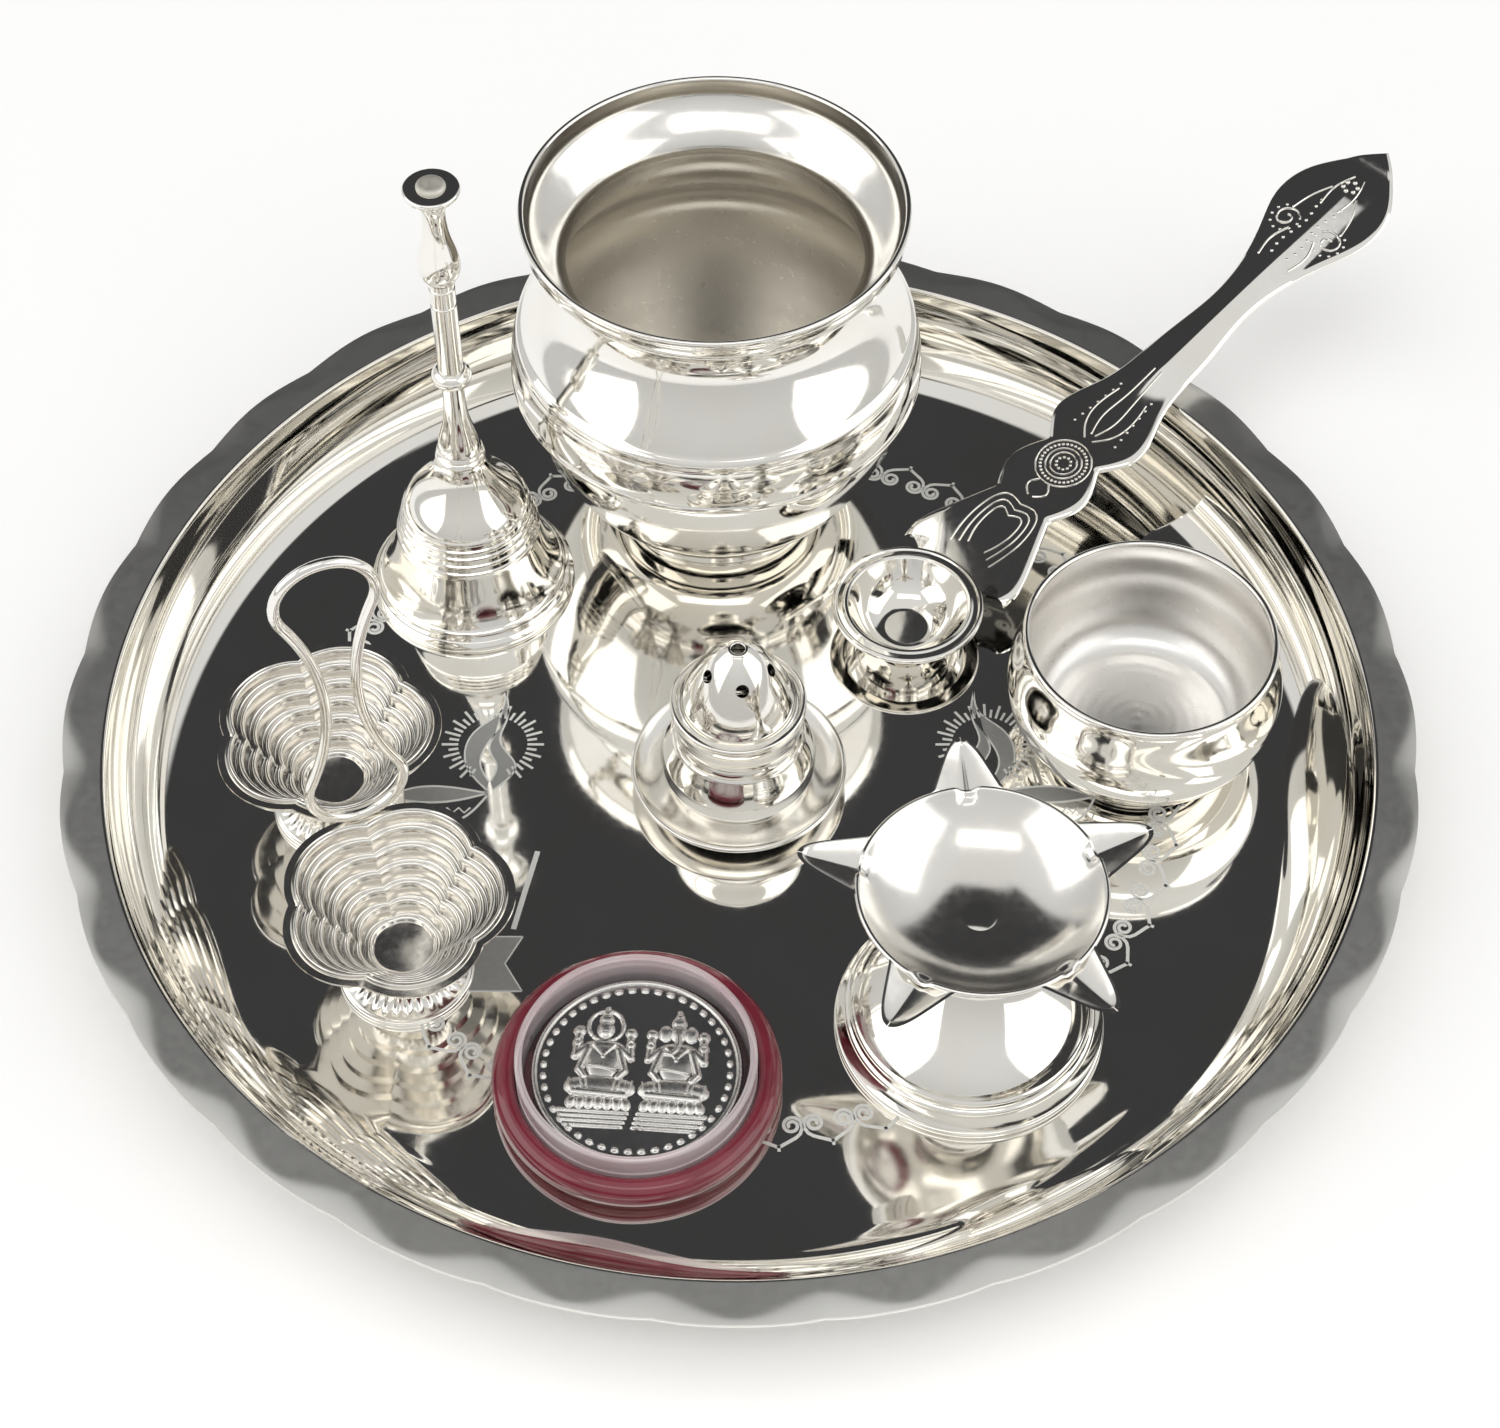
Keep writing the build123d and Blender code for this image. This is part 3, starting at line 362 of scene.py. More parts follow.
frosted_fill = silver("frosted_fill", (0.52, 0.52, 0.51), (0.46, 0.46, 0.45), 0.62, 0.75, 0.20)
dull_rod = silver("rod_metal", (0.86, 0.84, 0.78), (0.66, 0.64, 0.58), 0.55, 0.75, 0.30)
coin_field = silver("coin_silver", (0.74, 0.73, 0.71), (0.62, 0.61, 0.60), 0.08, 0.16, 0.05)
coin_relief = silver("coin_relief_silver", (0.90, 0.885, 0.85), (0.72, 0.70, 0.67), 0.22, 0.34, 0.15)
maroon = gloss_plastic("maroon_plastic", (0.155, 0.018, 0.032), (0.20, 0.026, 0.043), 0.12)
clear = clear_plastic("clear_plastic", (0.30, 0.30, 0.30), (0.22, 0.22, 0.22), 0.03)
# Capsule rim: a pale pink tint painted into the clear plastic, a painted reflection of the maroon holder seen
# through the wall
clear_edge_painted_reflection = clear_plastic("clear_plastic_edge_painted_reflection", (0.93, 0.84, 0.86), (0.84, 0.68, 0.71), 0.46)


# Meshes
def face_outward(mesh):
    """Turn every face of a closed mesh outward."""
    shaped = bmesh.new()
    shaped.from_mesh(mesh)
    bmesh.ops.recalc_face_normals(shaped, faces=shaped.faces)
    shaped.to_mesh(mesh)
    shaped.free()


def make_piece(name, place, vertices, faces, body, materials, nodes=(), slot="polished_silver", bands=None,
               crease=CREASE):
    """Object from vertices in millimetres around a place, riding on a body and standing for its nodes."""
    mesh = bpy.data.meshes.new(name)
    mesh.from_pydata((np.asarray(vertices, float) * MM).tolist(), [], [list(map(int, f)) for f in faces])
    for material in materials:
        mesh.materials.append(material)
    if bands is not None:
        mesh.polygons.foreach_set("material_index", np.asarray(bands, np.int32))
    mesh.update()
    face_outward(mesh)
    mesh.shade_smooth()
    mesh.set_sharp_from_angle(angle=math.radians(crease))
    piece = bpy.data.objects.new(name, mesh)
    piece.location = place
    bpy.context.collection.objects.link(piece)
    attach(piece, body)
    if nodes:
        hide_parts(*nodes)
    return piece


def turned(loop, turns, change=None):
    """Vertices, faces and the loop index of each face, for a closed section spun round its axis."""
    vertices = []
    rings = []
    for r, z in loop:
        if r < POLE:
            rings.append([len(vertices)] * turns)
            vertices.append((0, 0, z))
            continue
        rings.append(list(range(len(vertices), len(vertices) + turns)))
        for k in range(turns):
            angle = FULL * k / turns
            reach, height = change(r, z, angle) if change else (r, z)
            vertices.append((*polar(reach, angle), height))
    faces = []
    sources = []
    for i in range(len(loop)):
        low = rings[i]
        high = rings[(i + 1) % len(loop)]
        for k in range(turns):
            m = (k + 1) % turns
            corners = list(dict.fromkeys((low[k], low[m], high[m], high[k])))
            if len(corners) > 2:
                faces.append(corners)
                sources.append(i)
    return vertices, faces, sources


def set_on(point, up, side, loop, sides):
    """Vertices and faces of a small spun solid on a point in space, by its axis and a side direction."""
    vertices, faces, _ = turned(loop, sides)
    axes = np.array((side, np.cross(up, side), up))
    return list(np.asarray(point) + np.array(vertices) @ axes), faces


def spin(name, place, loop, body, nodes=(), materials=(polished,), slot="polished_silver", turns=128,
         inner_from=None, change=None):
    """Spun piece; from inner_from on, its section takes the second material."""
    vertices, faces, sources = turned(loop, turns, change)
    bands = None
    if inner_from is not None:
        bands = [1 if i >= inner_from else 0 for i in sources]
    return make_piece(name, place, vertices, faces, body, materials, nodes, slot, bands)


def spin_sheet(name, place, path, body, node, materials=(polished,), beads=(), thickness=WALL,
               round_end=True, turns=128, change=None):
    """Vessel wall spun from its mid-line; a second material goes on its inner side."""
    loop, inner_from = sheet(path, thickness, beads, round_end)
    if len(materials) == 1:
        inner_from = None
    return spin(name, place, loop, body, [node], materials, turns=turns, inner_from=inner_from, change=change)


def grid_faces(rows, columns, wrap=True, caps=False):
    """Quads of a grid of rows by columns, numbered row by row; caps close its two ends."""
    faces = []
    for i in range(rows - 1):
        for k in range(columns if wrap else columns - 1):
            m = (k + 1) % columns
            faces.append((i * columns + k, i * columns + m, (i + 1) * columns + m, (i + 1) * columns + k))
    if caps:
        faces.append(tuple(range(columns)))
        faces.append(tuple(range((rows - 1) * columns, rows * columns)))
    return faces


def slab_faces(rows, columns):
    """Faces of a closed slab between two skins of rows by columns, the second numbered after the first."""
    size = rows * columns
    skin = grid_faces(rows, columns, wrap=False)
    faces = skin + [tuple(i + size for i in face) for face in skin]
    edges = [(i * columns + k, columns) for i in range(rows - 1) for k in (0, columns - 1)]
    edges += [(i * columns + k, 1) for i in (0, rows - 1) for k in range(columns - 1)]
    for a, step in edges:
        faces.append((a, a + step, a + step + size, a + size))
    return faces


def on_rings(rings, start=0.0):
    """Vertices of rings round an axis, each a radius and a height for every step of the turn."""
    vertices = []
    for ring in rings:
        for k, (r, z) in enumerate(ring):
            vertices.append((*polar(r, start + FULL * k / len(ring)), z))
    return vertices


def gather(parts):
    """Vertices and faces of several meshes as one."""
    vertices = []
    faces = []
    for part_vertices, part_faces in parts:
        start = len(vertices)
        vertices.extend(part_vertices)
        faces.extend([tuple(start + i for i in face) for face in part_faces])
    return vertices, faces


def tube(path, radius, closed, around=20):
    """Vertices and faces of a round wire along points in space."""
    path = np.asarray(path, float)
    count = len(path)
    if closed:
        tangents = np.roll(path, -1, axis=0) - np.roll(path, 1, axis=0)
    else:
        tangents = np.gradient(path, axis=0)
    tangents /= np.linalg.norm(tangents, axis=1)[:, None]
    normal_of_plane = unit(np.cross(tangents[0], tangents[count // 5]))
    vertices = []
    for point, tangent in zip(path, tangents):
        side = unit(np.cross(tangent, normal_of_plane))
        for k in range(around):
            across, up = polar(radius, FULL * k / around)
            vertices.append(point + across * side + up * normal_of_plane)
    faces = grid_faces(count, around, caps=not closed)
    if closed:
        last = (count - 1) * around
        for k in range(around):
            m = (k + 1) % around
            faces.append((last + k, last + m, m, k))
    return vertices, faces


# Tray: mirror floor, quarter-round wall and a brushed flange whose crimped edge dips at each cusp
SCALLOPS = 28
CUSP_DEPTH = 0.8
FLOOR_R = 102.0
COVE_R = 16.4
RIM_Z = 17.0
PLATE_R = 126.85
BEAD_R = 0.9
FLANGE_R = FLOOR_R + COVE_R + BEAD_R
EDGE_HEIGHT = 0.95
CREST_BEND = 1.0
CUSP_BEND = 4.6
CREST_DROP = 0.14
CUSP_DROP = 0.70
tray_place = Vector((0, 0, floor_z))


def plate_edge(angle):
    """Radius of the tray's scalloped edge."""
    step = FULL / SCALLOPS
    away = (angle + step / 2) % step - step / 2
    return PLATE_R - CUSP_DEPTH * (2 * away / step) ** 2


def flange_point(angle, share):
    """Radius and height on the flange, at a share of the way from the wall to the edge."""
    crimp = 0.5 - 0.5 * math.cos(SCALLOPS * angle)
    edge = plate_edge(angle)
    r = between(FLANGE_R, edge, share)
    bend_r = edge - between(CREST_BEND, CUSP_BEND, crimp)
    bent = max(0.0, (r - bend_r) / (edge - bend_r))
    return r, RIM_Z - between(CREST_DROP, CUSP_DROP, crimp) * bent ** 1.4


def build_plate():
    turns = SCALLOPS * 16
    top = chain(
        [(0, 0)],
        [(r, 0) for r in np.linspace(20, FLOOR_R - 2, 5)],
        [(FLOOR_R, 0)],
        arc((FLOOR_R, COVE_R), COVE_R, -86, -6, 22),
        arc((FLANGE_R, RIM_Z - BEAD_R), BEAD_R, 178, 92, 7),
    )
    under = chain(
        [(FLOOR_R + COVE_R + STOUT_WALL, RIM_Z - STOUT_WALL)],
        arc((FLOOR_R, COVE_R), COVE_R + STOUT_WALL, -4, -88, 22),
        [(FLOOR_R, -STOUT_WALL), (60, -STOUT_WALL), (0, -STOUT_WALL)],
    )
    flange_shares = np.concatenate((np.linspace(0.02, 0.98, 18), [1.0]))
    rings = [[(r, z)] * turns for r, z in top]
    for share in flange_shares:
        rings.append([flange_point(FULL * k / turns, share) for k in range(turns)])
    edge_ring = rings[-1]
    rings.append([(r + 0.10, z - 0.35) for r, z in edge_ring])
    rings.append([(r, z - EDGE_HEIGHT) for r, z in edge_ring])
    root_r, root_z = under[0]
    for share in (0.7, 0.35):
        ring = []
        for r, z in edge_ring:
            ring.append((between(root_r, r, share), between(root_z, z - EDGE_HEIGHT, share ** 2)))
        rings.append(ring)
    rings.extend([[(r, z)] * turns for r, z in under])
    flange_first = len(top) - 1
    flange_last = flange_first + len(flange_shares) + 1
    bands = []
    for i in range(len(rings) - 1):
        bands.extend([1 if flange_first <= i < flange_last else 0] * turns)
    piece = make_piece(
        "tray_dish", tray_place, on_rings(rings), grid_faces(len(rings), turns), "tray", [mirror, brushed],
        ["thali_plate"], "tray_silver", bands,
    )
    shaped = bmesh.new()
    shaped.from_mesh(piece.data)
    bmesh.ops.remove_doubles(shaped, verts=shaped.verts, dist=1e-7)
    shaped.to_mesh(piece.data)
    shaped.free()


build_plate()


# Lota
lota = axis_of("lota_foot_ring")
spin(
    "lota_ring", lota,
    rounded((19.2, 0, 0.3), (21.8, 0, 0.5), (21.1, 2.6, 0), (20.5, 5.6, 0.2), (19.2, 5.6, 0.2)),
    "lota", ["lota_foot_ring"],
)
spin_sheet(
    "lota_body", lota,
    chain(
        [(0, 6.1), (10, 6.1), (18, 6.1)],
        spline([(20.5, 6.1), (34.7, 22.06), (38.7, 46.0), (29.0, 65.0)], (1, 0), (0, 1), 44),
    ),
    "lota", "lota_bowl", [polished, satin], [(36.8, 0.5, 1.0), (47.3, 0.5, 1.0)], round_end=False, turns=176,
)
spin_sheet(
    "lota_neck", lota,
    spline([(29.0, 65.0), (30.46, 68.2), (33.53, 70.9), (35.94, 74.1), (36.3, 77.3)], (0, 1), (0, 1), 14),
    "lota", "lota_mouth", [polished, soft], [(77.3, 0.2, 1.0)], turns=176,
)


# Hand bell: spun skirt and the stacked pieces of its handle, bored for the tie rod
bell = axis_of("bell_skirt")
ROD_R = 1.1
TUBE_R = 2.4
bell_flare = [
    (19.5, 1.2), (15.2, 8.6), (13.3, 16.0), (12.3, 20.0), (11.0, 24.0), (8.8, 27.0), (6.4, 30.2),
    (4.65, 34.0), (4.3, 36.1),
]
spin_sheet(
    "bell_shell", bell,
    chain(spline(bell_flare, (-1, 1), (0, 1), 16), arc((3.5, 36.1), 0.8, 0, 90, 6), [(ROD_R, 36.9)]),
    "bell", "bell_skirt", beads=[(z, 0.28, 0.5) for z in (16.0, 17.7, 19.4, 21.1, 22.8, 3.2)],
    thickness=STOUT_WALL, round_end=False, turns=144,
)
spin(
    "bell_lip", bell,
    rounded((18.6, 0, 0.5), (20.4, 0, 0.7), (20.3, 1.5, 0.5), (19.4, 2.4, 0.4), (18.2, 2.2, 0.3)),
    "bell", turns=144,
)
cone_line = [(4.1, 38.6), (3.75, 41.3), (3.0, 44.2), (2.4, 47.3), (2.1, 51.6), (2.1, 56)]
finial_line = [(TUBE_R, 82.3), (3.9, 86.6), (2.9, 91.4), (2.15, 97.0), (2.7, 100.6), (5.0, 103.1)]
bell_handle = {
    "cone": chain(
        [(ROD_R, 37.5), (4.2, 37.5)],
        arc((4.2, 37.85), 0.3, -90, 60, 6),
        spline(cone_line, (0, 1), (0, 1), 10),
        [(ROD_R, 56)],
    ),
    "collar": chain([(ROD_R, 56)], arc((1.943, 57.8), 1.857, -75.7, 75.7, 14), [(ROD_R, 59.6)]),
    "tube": chain(
        [(ROD_R, 59.6), (TUBE_R, 59.6), (TUBE_R, 68)],
        arc((TUBE_R, 76.4), 0.35, 270, 90, 8),
        [(TUBE_R, 78.5)],
        arc((TUBE_R, 80.6), 0.35, 270, 90, 8),
        [(TUBE_R, 82.5), (TUBE_R, 84), (ROD_R, 84)],
    ),
    "finial": chain(
        [(ROD_R, 82.0), (TUBE_R, 82.0)],
        spline(finial_line, (1, 0.8), (1, 0), 12),
        arc((4.7, 103.7), 0.5, -40, 85, 8),
        [(ROD_R, 104.3)],
    ),
}
for part, section in bell_handle.items():
    spin(f"bell_{part}", bell, section, "bell", [f"bell_handle_{part}"], turns=72)


# Kumkum stand: shell-ridged flower cups, fluted feet and a bent wire handle
PETALS = 5
PETAL_HALF = math.pi / PETALS
TERRACES = 6
CUP_R = 18.9
CUP_RIM_Z = 24.0
CUP_WELL_Z = 8.0
CUP_WALL = 0.9
CUP_TURNS = PETALS * 44
WELL_SHARE = 0.31
ROUND_VALLEY = 0.97
PETAL_VALLEY = 0.875
FLUTES = 32
FLUTE_DEPTH = 0.55
cup_front = axis_of("kumkum_foot_front")
cup_back = axis_of("kumkum_foot_back")
cup_along = (cup_back - cup_front).normalized()
cup_turn = math.atan2(cup_along.y, cup_along.x)


def petal_radius(petal_r, valley_r, angle):
    """Radius of a round-petalled outline at an angle."""
    away = (angle - cup_turn - math.pi + PETAL_HALF) % (2 * PETAL_HALF) - PETAL_HALF
    middle = (petal_r**2 - valley_r**2) / (2 * (petal_r - valley_r * math.cos(PETAL_HALF)))
    bend = petal_r - middle
    return middle * math.cos(away) + math.sqrt(max(bend**2 - (middle * math.sin(away)) ** 2, 0))


def cup_ring(share, z):
    """Petal radius, valley radius and height of one ring; small rings become round."""
    petal_r = CUP_R * share
    valley_r = petal_r * between(ROUND_VALLEY, PETAL_VALLEY, float(smooth_step(0.3, 0.55, share)))
    return (petal_r, valley_r, z)


def cup_profile():
    """Rings from the middle of the well over the terraces and the rim to the middle underneath."""
    step = (CUP_RIM_Z - CUP_WELL_Z) / TERRACES
    shares = [between(1.0, 0.42, i / (TERRACES - 1)) for i in range(TERRACES)]
    inside = [(19.9, 17.55, 23.55), (19.45, 17.1, 23.3), (19.25, 16.95, 23.85), (19.05, 16.75, 24.0)]
    outside = [(21.2, 18.8, 23.6), (21.3, 18.9, 23.35), (21.2, 18.8, 23.1), (20.1, 17.7, 23.0)]
    for i, (share, following) in enumerate(zip(shares, shares[1:] + [WELL_SHARE])):
        high_z = CUP_RIM_Z - i * step
        low_z = high_z - step
        inside += [
            cup_ring(share - 0.012, high_z - 0.35),
            cup_ring(share - 0.02, low_z + 0.75),
            cup_ring(share - 0.035, low_z + 0.15),
            cup_ring(following + 0.05, low_z + 0.12),
            cup_ring(following + 0.033, low_z + 0.62),
            cup_ring(following + 0.012, low_z + 0.68),
        ]
        petal_r, valley_r, _ = cup_ring(share, 0)
        for wall, z in ((CUP_WALL, high_z - 0.3), (CUP_WALL - 0.05, low_z + 0.25)):
            outside.append((petal_r + wall, valley_r + wall, z - CUP_WALL))
    inside += [cup_ring(0.298, CUP_WELL_Z + 0.25), cup_ring(0.285, CUP_WELL_Z + 0.02)]
    outside.append((8.3, 7.9, CUP_WELL_Z - CUP_WALL))
    point = POLE * 10
    middle_top = [(point, point, CUP_WELL_Z), (4.0, 4.0, CUP_WELL_Z)]
    middle_under = [(4.0, 4.0, CUP_WELL_Z - CUP_WALL), (point, point, CUP_WELL_Z - CUP_WALL)]
    return middle_top + spline(inside, steps=3)[::-1].tolist() + outside + middle_under


def build_cup(name, place, node):
    angles = [cup_turn + FULL * k / CUP_TURNS for k in range(CUP_TURNS)]
    rings = []
    for petal_r, valley_r, z in cup_profile():
        rings.append([(petal_radius(petal_r, valley_r, angle), z) for angle in angles])
    make_piece(
        name, place, on_rings(rings, cup_turn), grid_faces(len(rings), CUP_TURNS, caps=True),
        "kumkum_stand", [stamped], [node], crease=38,
    )


def fluted(r, z, angle):
    """Foot radius with upright flutes between its base ring and its neck."""
    depth = FLUTE_DEPTH * smooth_step(1.6, 2.2, z) * (1 - smooth_step(6.0, 6.8, z))
    inset = float(depth) * (0.5 + 0.5 * math.cos(FLUTES * angle)) if r > 6 else 0.0
    return r - inset, z


foot_base = rounded((5, 0, 0), (12.4, 0, 0.3), (12.4, 1.4, 0.6), (11, 1.4, 0), (5, 1.4, 0))[1:15]
foot_loop = chain(
    [(5, 0)],
    foot_base,
    spline([(11.6, 1.55), (8.2, 5.3)], (-1, 0.2), (0, 1), 18),
    [(8.2, 6.2), (8.2, 7.1), (5, 7.1)],
)
for end, place in (("front", cup_front), ("back", cup_back)):
    build_cup(f"flower_cup_{end}", place, f"kumkum_cup_{end}")
    spin(
        f"fluted_foot_{end}", place, foot_loop, "kumkum_stand", [f"kumkum_foot_{end}"], [stamped],
        turns=FLUTES * 8, change=fluted,
    )

wire_across = np.array((math.sin(cup_turn), -math.cos(cup_turn), 0))
wire_outline = chain(
    arc((0, 9.35), 8.7, 154.6, 385.4, 60),
    arc((53.3, 34.65), 50.3, 205.4, 154.6, 50),
    arc((0, 59.95), 8.7, -25.4, 205.4, 60),
    arc((-53.3, 34.65), 50.3, 25.4, -25.4, 50),
)[:-1]
wire_path = [x * wire_across + np.array((0, 0, CUP_RIM_Z + y)) for x, y in wire_outline]
make_piece(
    "wire_loop", axis_of("kumkum_wire_handle"), *tube(wire_path, 1.0, True), "kumkum_stand", [polished],
    ["kumkum_wire_handle"],
)


# Incense holder
incense = axis_of("incense_foot")
spin(
    "incense_base", incense, rounded((8.5, 0, 0.3), (11, 0, 0.5), (11, 2.6, 0.3), (8.5, 2.6, 0.3)),
    "incense_holder", ["incense_foot"], turns=112,
)
spin_sheet(
    "incense_tray", incense,
    chain([(1.6, 3.1), (8, 3.1)], spline([(13.6, 3.1), (20.0, 4.7)], (1, 0), (1, 0.7), 28)),
    "incense_holder", "incense_saucer", [soft], turns=144,
)
vase_line = [(12.2, 4.1), (13.9, 6.04), (11.5, 19.03), (12.2, 23.9)]
spin_sheet(
    "incense_cup", incense, chain([(1.6, 4.1), (6, 4.1)], spline(vase_line, (1, 0), (0, 1), 40)),
    "incense_holder", "incense_vase", beads=[(17.7, -0.22, 0.35), (15.8, -0.22, 0.35)], round_end=False,
)


# Katori
katori = axis_of("katori_foot_ring")
spin(
    "katori_ring", katori, rounded((13.6, 0, 0.3), (16, 0, 0.5), (16, 2.6, 0.3), (13.6, 2.6, 0.3)),
    "katori", ["katori_foot_ring"],
)
spin_sheet(
    "katori_pot", katori,
    chain(
        [(0, 3.2), (6, 3.2), (12, 3.2)],
        spline([(16, 3.2), (25.4, 17), (23.2, 29.1)], (1, 0), (0, 1), 48),
    ),
    "katori", "katori_bowl", [polished, pale_satin], [(28.9, 0.12, 0.9)], STOUT_WALL, turns=160,
)


# Coin set: coloured ring and clear capsule
coin_place = axis_of("coin_holder_ring")
spin(
    "capsule_holder", coin_place,
    rounded(
        (17.65, 0, 0.15), (25.8, 0, 2.6), (25.8, 5.8, 2.7), (21.65, 5.8, 1.4), (21.65, 1.2, 0.2),
        (17.65, 1.2, 0.15),
    ),
    "coin_holder", ["coin_holder_ring"], [maroon], "maroon_plastic", 144,
)
spin(
    "capsule_tray", coin_place,
    rounded(
        (0, 1.2, 0), (21.4, 1.2, 0.3), (21.4, 2.4, 0.2), (20.05, 2.4, 0.1), (20.05, 5.4, 0.3),
        (18.85, 5.4, 0.3), (18.85, 2.4, 0.1), (0, 2.4, 0),
    ),
    "capsule", ["capsule_base"], [clear], "clear_plastic",
)
spin(
    "capsule_cover", coin_place,
    rounded((0, 9.75, 0), (20.0, 9.75, 0.1), (20.0, 8.6, 0.1), (0, 8.6, 0)),
    "capsule_lid", ["capsule_lid"], [clear], "clear_plastic",
)
# The wall's material carries the painted pink reflection of the maroon ring
spin(
    "capsule_wall", coin_place,
    rounded(
        (20.05, 9.45, 0.1), (20.5, 9.45, 0.1), (20.7, 9.8, 0.2), (21.4, 9.6, 0.5), (21.4, 6.2, 0.2),
        (21.15, 6.0, 0.1), (21.15, 5.6, 0.1), (21.4, 5.4, 0.2), (21.4, 2.4, 0.2), (20.2, 2.4, 0.1),
        (20.05, 8.6, 0.3),
    ),
    "capsule_lid", (), [clear_edge_painted_reflection], "clear_plastic",
)


# Incense cap: pierced dome over a brim with a spigot
HOLES = 5
HOLE_TURN = -82.5
HOLE_TILT = math.radians(50.0)
HOLE_R = 1.25
HOLE_PLACE_R = 5.67
HOLE_PLACE_Z = 34.37
DRILL_LENGTH = 6.0
DRILL_SIDES = 32


def drill(angle):
    """Vertices and faces of a round cutter for one stick hole, whose axis leans outward."""
    place = (*polar(HOLE_PLACE_R, angle), HOLE_PLACE_Z)
    axis = np.array((*polar(math.sin(HOLE_TILT), angle), math.cos(HOLE_TILT)))
    sideways = np.array((-math.sin(angle), math.cos(angle), 0))
    half = DRILL_LENGTH / 2
    loop = [(0, -half), (HOLE_R, -half), (HOLE_R, half), (0, half)]
    return set_on(place, axis, sideways, loop, DRILL_SIDES)


def pierce(piece, cutters):
    """Cut the given solids out of a piece and keep the result as its mesh."""
    vertices, faces = gather(cutters)
    mesh = bpy.data.meshes.new("cutter")
    mesh.from_pydata((np.asarray(vertices) * MM).tolist(), [], faces)
    face_outward(mesh)
    cutter = bpy.data.objects.new("cutter", mesh)
    cutter.matrix_world = piece.matrix_world.copy()
    bpy.context.collection.objects.link(cutter)
    cut = piece.modifiers.new("cut", "BOOLEAN")
    cut.operation = "DIFFERENCE"
    cut.solver = "EXACT"
    cut.object = cutter
    bpy.context.view_layer.update()
    shown = piece.evaluated_get(bpy.context.evaluated_depsgraph_get())
    result = bpy.data.meshes.new_from_object(shown)
    piece.modifiers.clear()
    piece.data = result
    result.shade_smooth()
    result.set_sharp_from_angle(angle=math.radians(CREASE))
    bpy.data.objects.remove(cutter)


dome = spin_sheet(
    "incense_dome", incense,
    spline([(10.4, 24.4), (6.98, 32.6), (1.75, 38.95)], (-0.2, 1), (-1, 0.7), 40),
    "incense_cap", "incense_cap",
)
pierce(dome, [drill(math.radians(HOLE_TURN + i * 360 / HOLES)) for i in range(HOLES)])
spin(
    "incense_brim", incense,
    rounded(
        (10.45, 21.5, 0.2), (11.45, 21.5, 0.2), (11.45, 23.9, 0), (12.7, 23.9, 0.45), (12.7, 24.9, 0.45),
        (11.6, 24.85, 0.3), (11.3, 24.3, 0.15), (10.9, 24.5, 0.1), (10.0, 24.5, 0), (10.0, 23.9, 0),
        (10.45, 23.9, 0),
    ),
    "incense_cap",
)
spin(
    "incense_top_ring", incense,
    rounded((1.25, 38.5, 0.1), (2.3, 38.3, 0.1), (2.0, 39.6, 0.35), (1.25, 39.7, 0.25)),
    "incense_cap", turns=48,
)


# Aarti spoon lamp: lipped cup
aarti = axis_of("aarti_cup")
spin_sheet(
    "aarti_dish", aarti,
    chain([(0, 0.5), (2, 0.5)], spline([(4, 0.5), (9.3, 3.2), (12.2, 8.0)], (1, 0), (0.5, 1), 32)),
    "aarti_spoon", "aarti_cup", round_end=False,
)
spin(
    "aarti_lip", aarti,
    rounded(
        (11.7, 7.3, 0.1), (15, 7.5, 0.4), (15, 8.3, 0.35), (14.2, 8.5, 0.3), (13.9, 8.2, 0.1),
        (13.0, 8.3, 0.2), (12.5, 8.5, 0.3), (11.7, 8.3, 0.3),
    ),
    "aarti_spoon",
)

# Aarti handle: stamped blade with a ridge, bevelled edge and embossed ornament
HANDLE_L = 133.48
HANDLE_HALF = 13.58
HANDLE_BACK = -5.6
HANDLE_TURN = math.radians(44.5)
HANDLE_RISE = math.radians(11.5)
HANDLE_MID = 0.5
RIDGE_HEIGHT = 0.95
RIDGE_HALF = 6.0
BEVEL_DEPTH = 0.45
BEVEL_WIDTH = 1.3
KNOB_LIFT = 0.35
AARTI_RIM_R = 15.0
AARTI_LIP_MID_Z = 8.0
handle_along = np.array((*polar(1.0, HANDLE_TURN), 0))
handle_slope = handle_along * math.cos(HANDLE_RISE) + np.array((0, 0, math.sin(HANDLE_RISE)))
handle_across = np.array((-math.sin(HANDLE_TURN), math.cos(HANDLE_TURN), 0))
handle_up = np.cross(handle_slope, handle_across)
handle_root = handle_along * AARTI_RIM_R + np.array((0, 0, AARTI_LIP_MID_Z))
handle_shares = (
    ((0.0, 0.62), (0.04, 1.0), (0.10, 0.86), (0.175, 0.52)),
    ((0.175, 0.52), (0.225, 0.72), (0.285, 0.49)),
    ((0.285, 0.49), (0.335, 0.79), (0.415, 0.58), (0.53, 0.44), (0.63, 0.34), (0.71, 0.43), (0.78, 0.66),
     (0.845, 0.88), (0.905, 0.80), (0.95, 0.50)),
    ((0.95, 0.50), (0.975, 0.28), (1.0, 0.0)),
)
handle_edge = chain(*[
    spline([(between(HANDLE_BACK, HANDLE_L, a), HANDLE_HALF * b) for a, b in shares], steps=14)
    for shares in handle_shares
])


def handle_width(x):
    """Half width of the blade at a distance from the rim."""
    return float(np.interp(x, handle_edge[:, 0], handle_edge[:, 1]))


def handle_top(x, y):
    """Height of the blade's upper face over its mid-plane: flat, ridged further out, bevelled at its edge."""
    ridge = RIDGE_HEIGHT * float(smooth_step(50, 62, x) * (1 - smooth_step(118, 127, x)))
    inside = handle_width(x) - abs(y)
    bevel = BEVEL_DEPTH * max(0.0, 1 - inside / BEVEL_WIDTH) ** 2
    knob = KNOB_LIFT * float(smooth_step(127, 130, x))
    return HANDLE_MID + ridge * max(0.0, 1 - abs(y) / RIDGE_HALF) - bevel + knob


def on_handle(x, y, z):
    """Point in the aarti lamp's frame from the blade's own coordinates."""
    return handle_root + handle_slope * x + handle_across * y + handle_up * z


def rim_cut(y):
    """Where the cup's round rim meets the blade, at a distance from its middle."""
    return math.sqrt(max(AARTI_RIM_R**2 - y * y, 0)) - AARTI_RIM_R


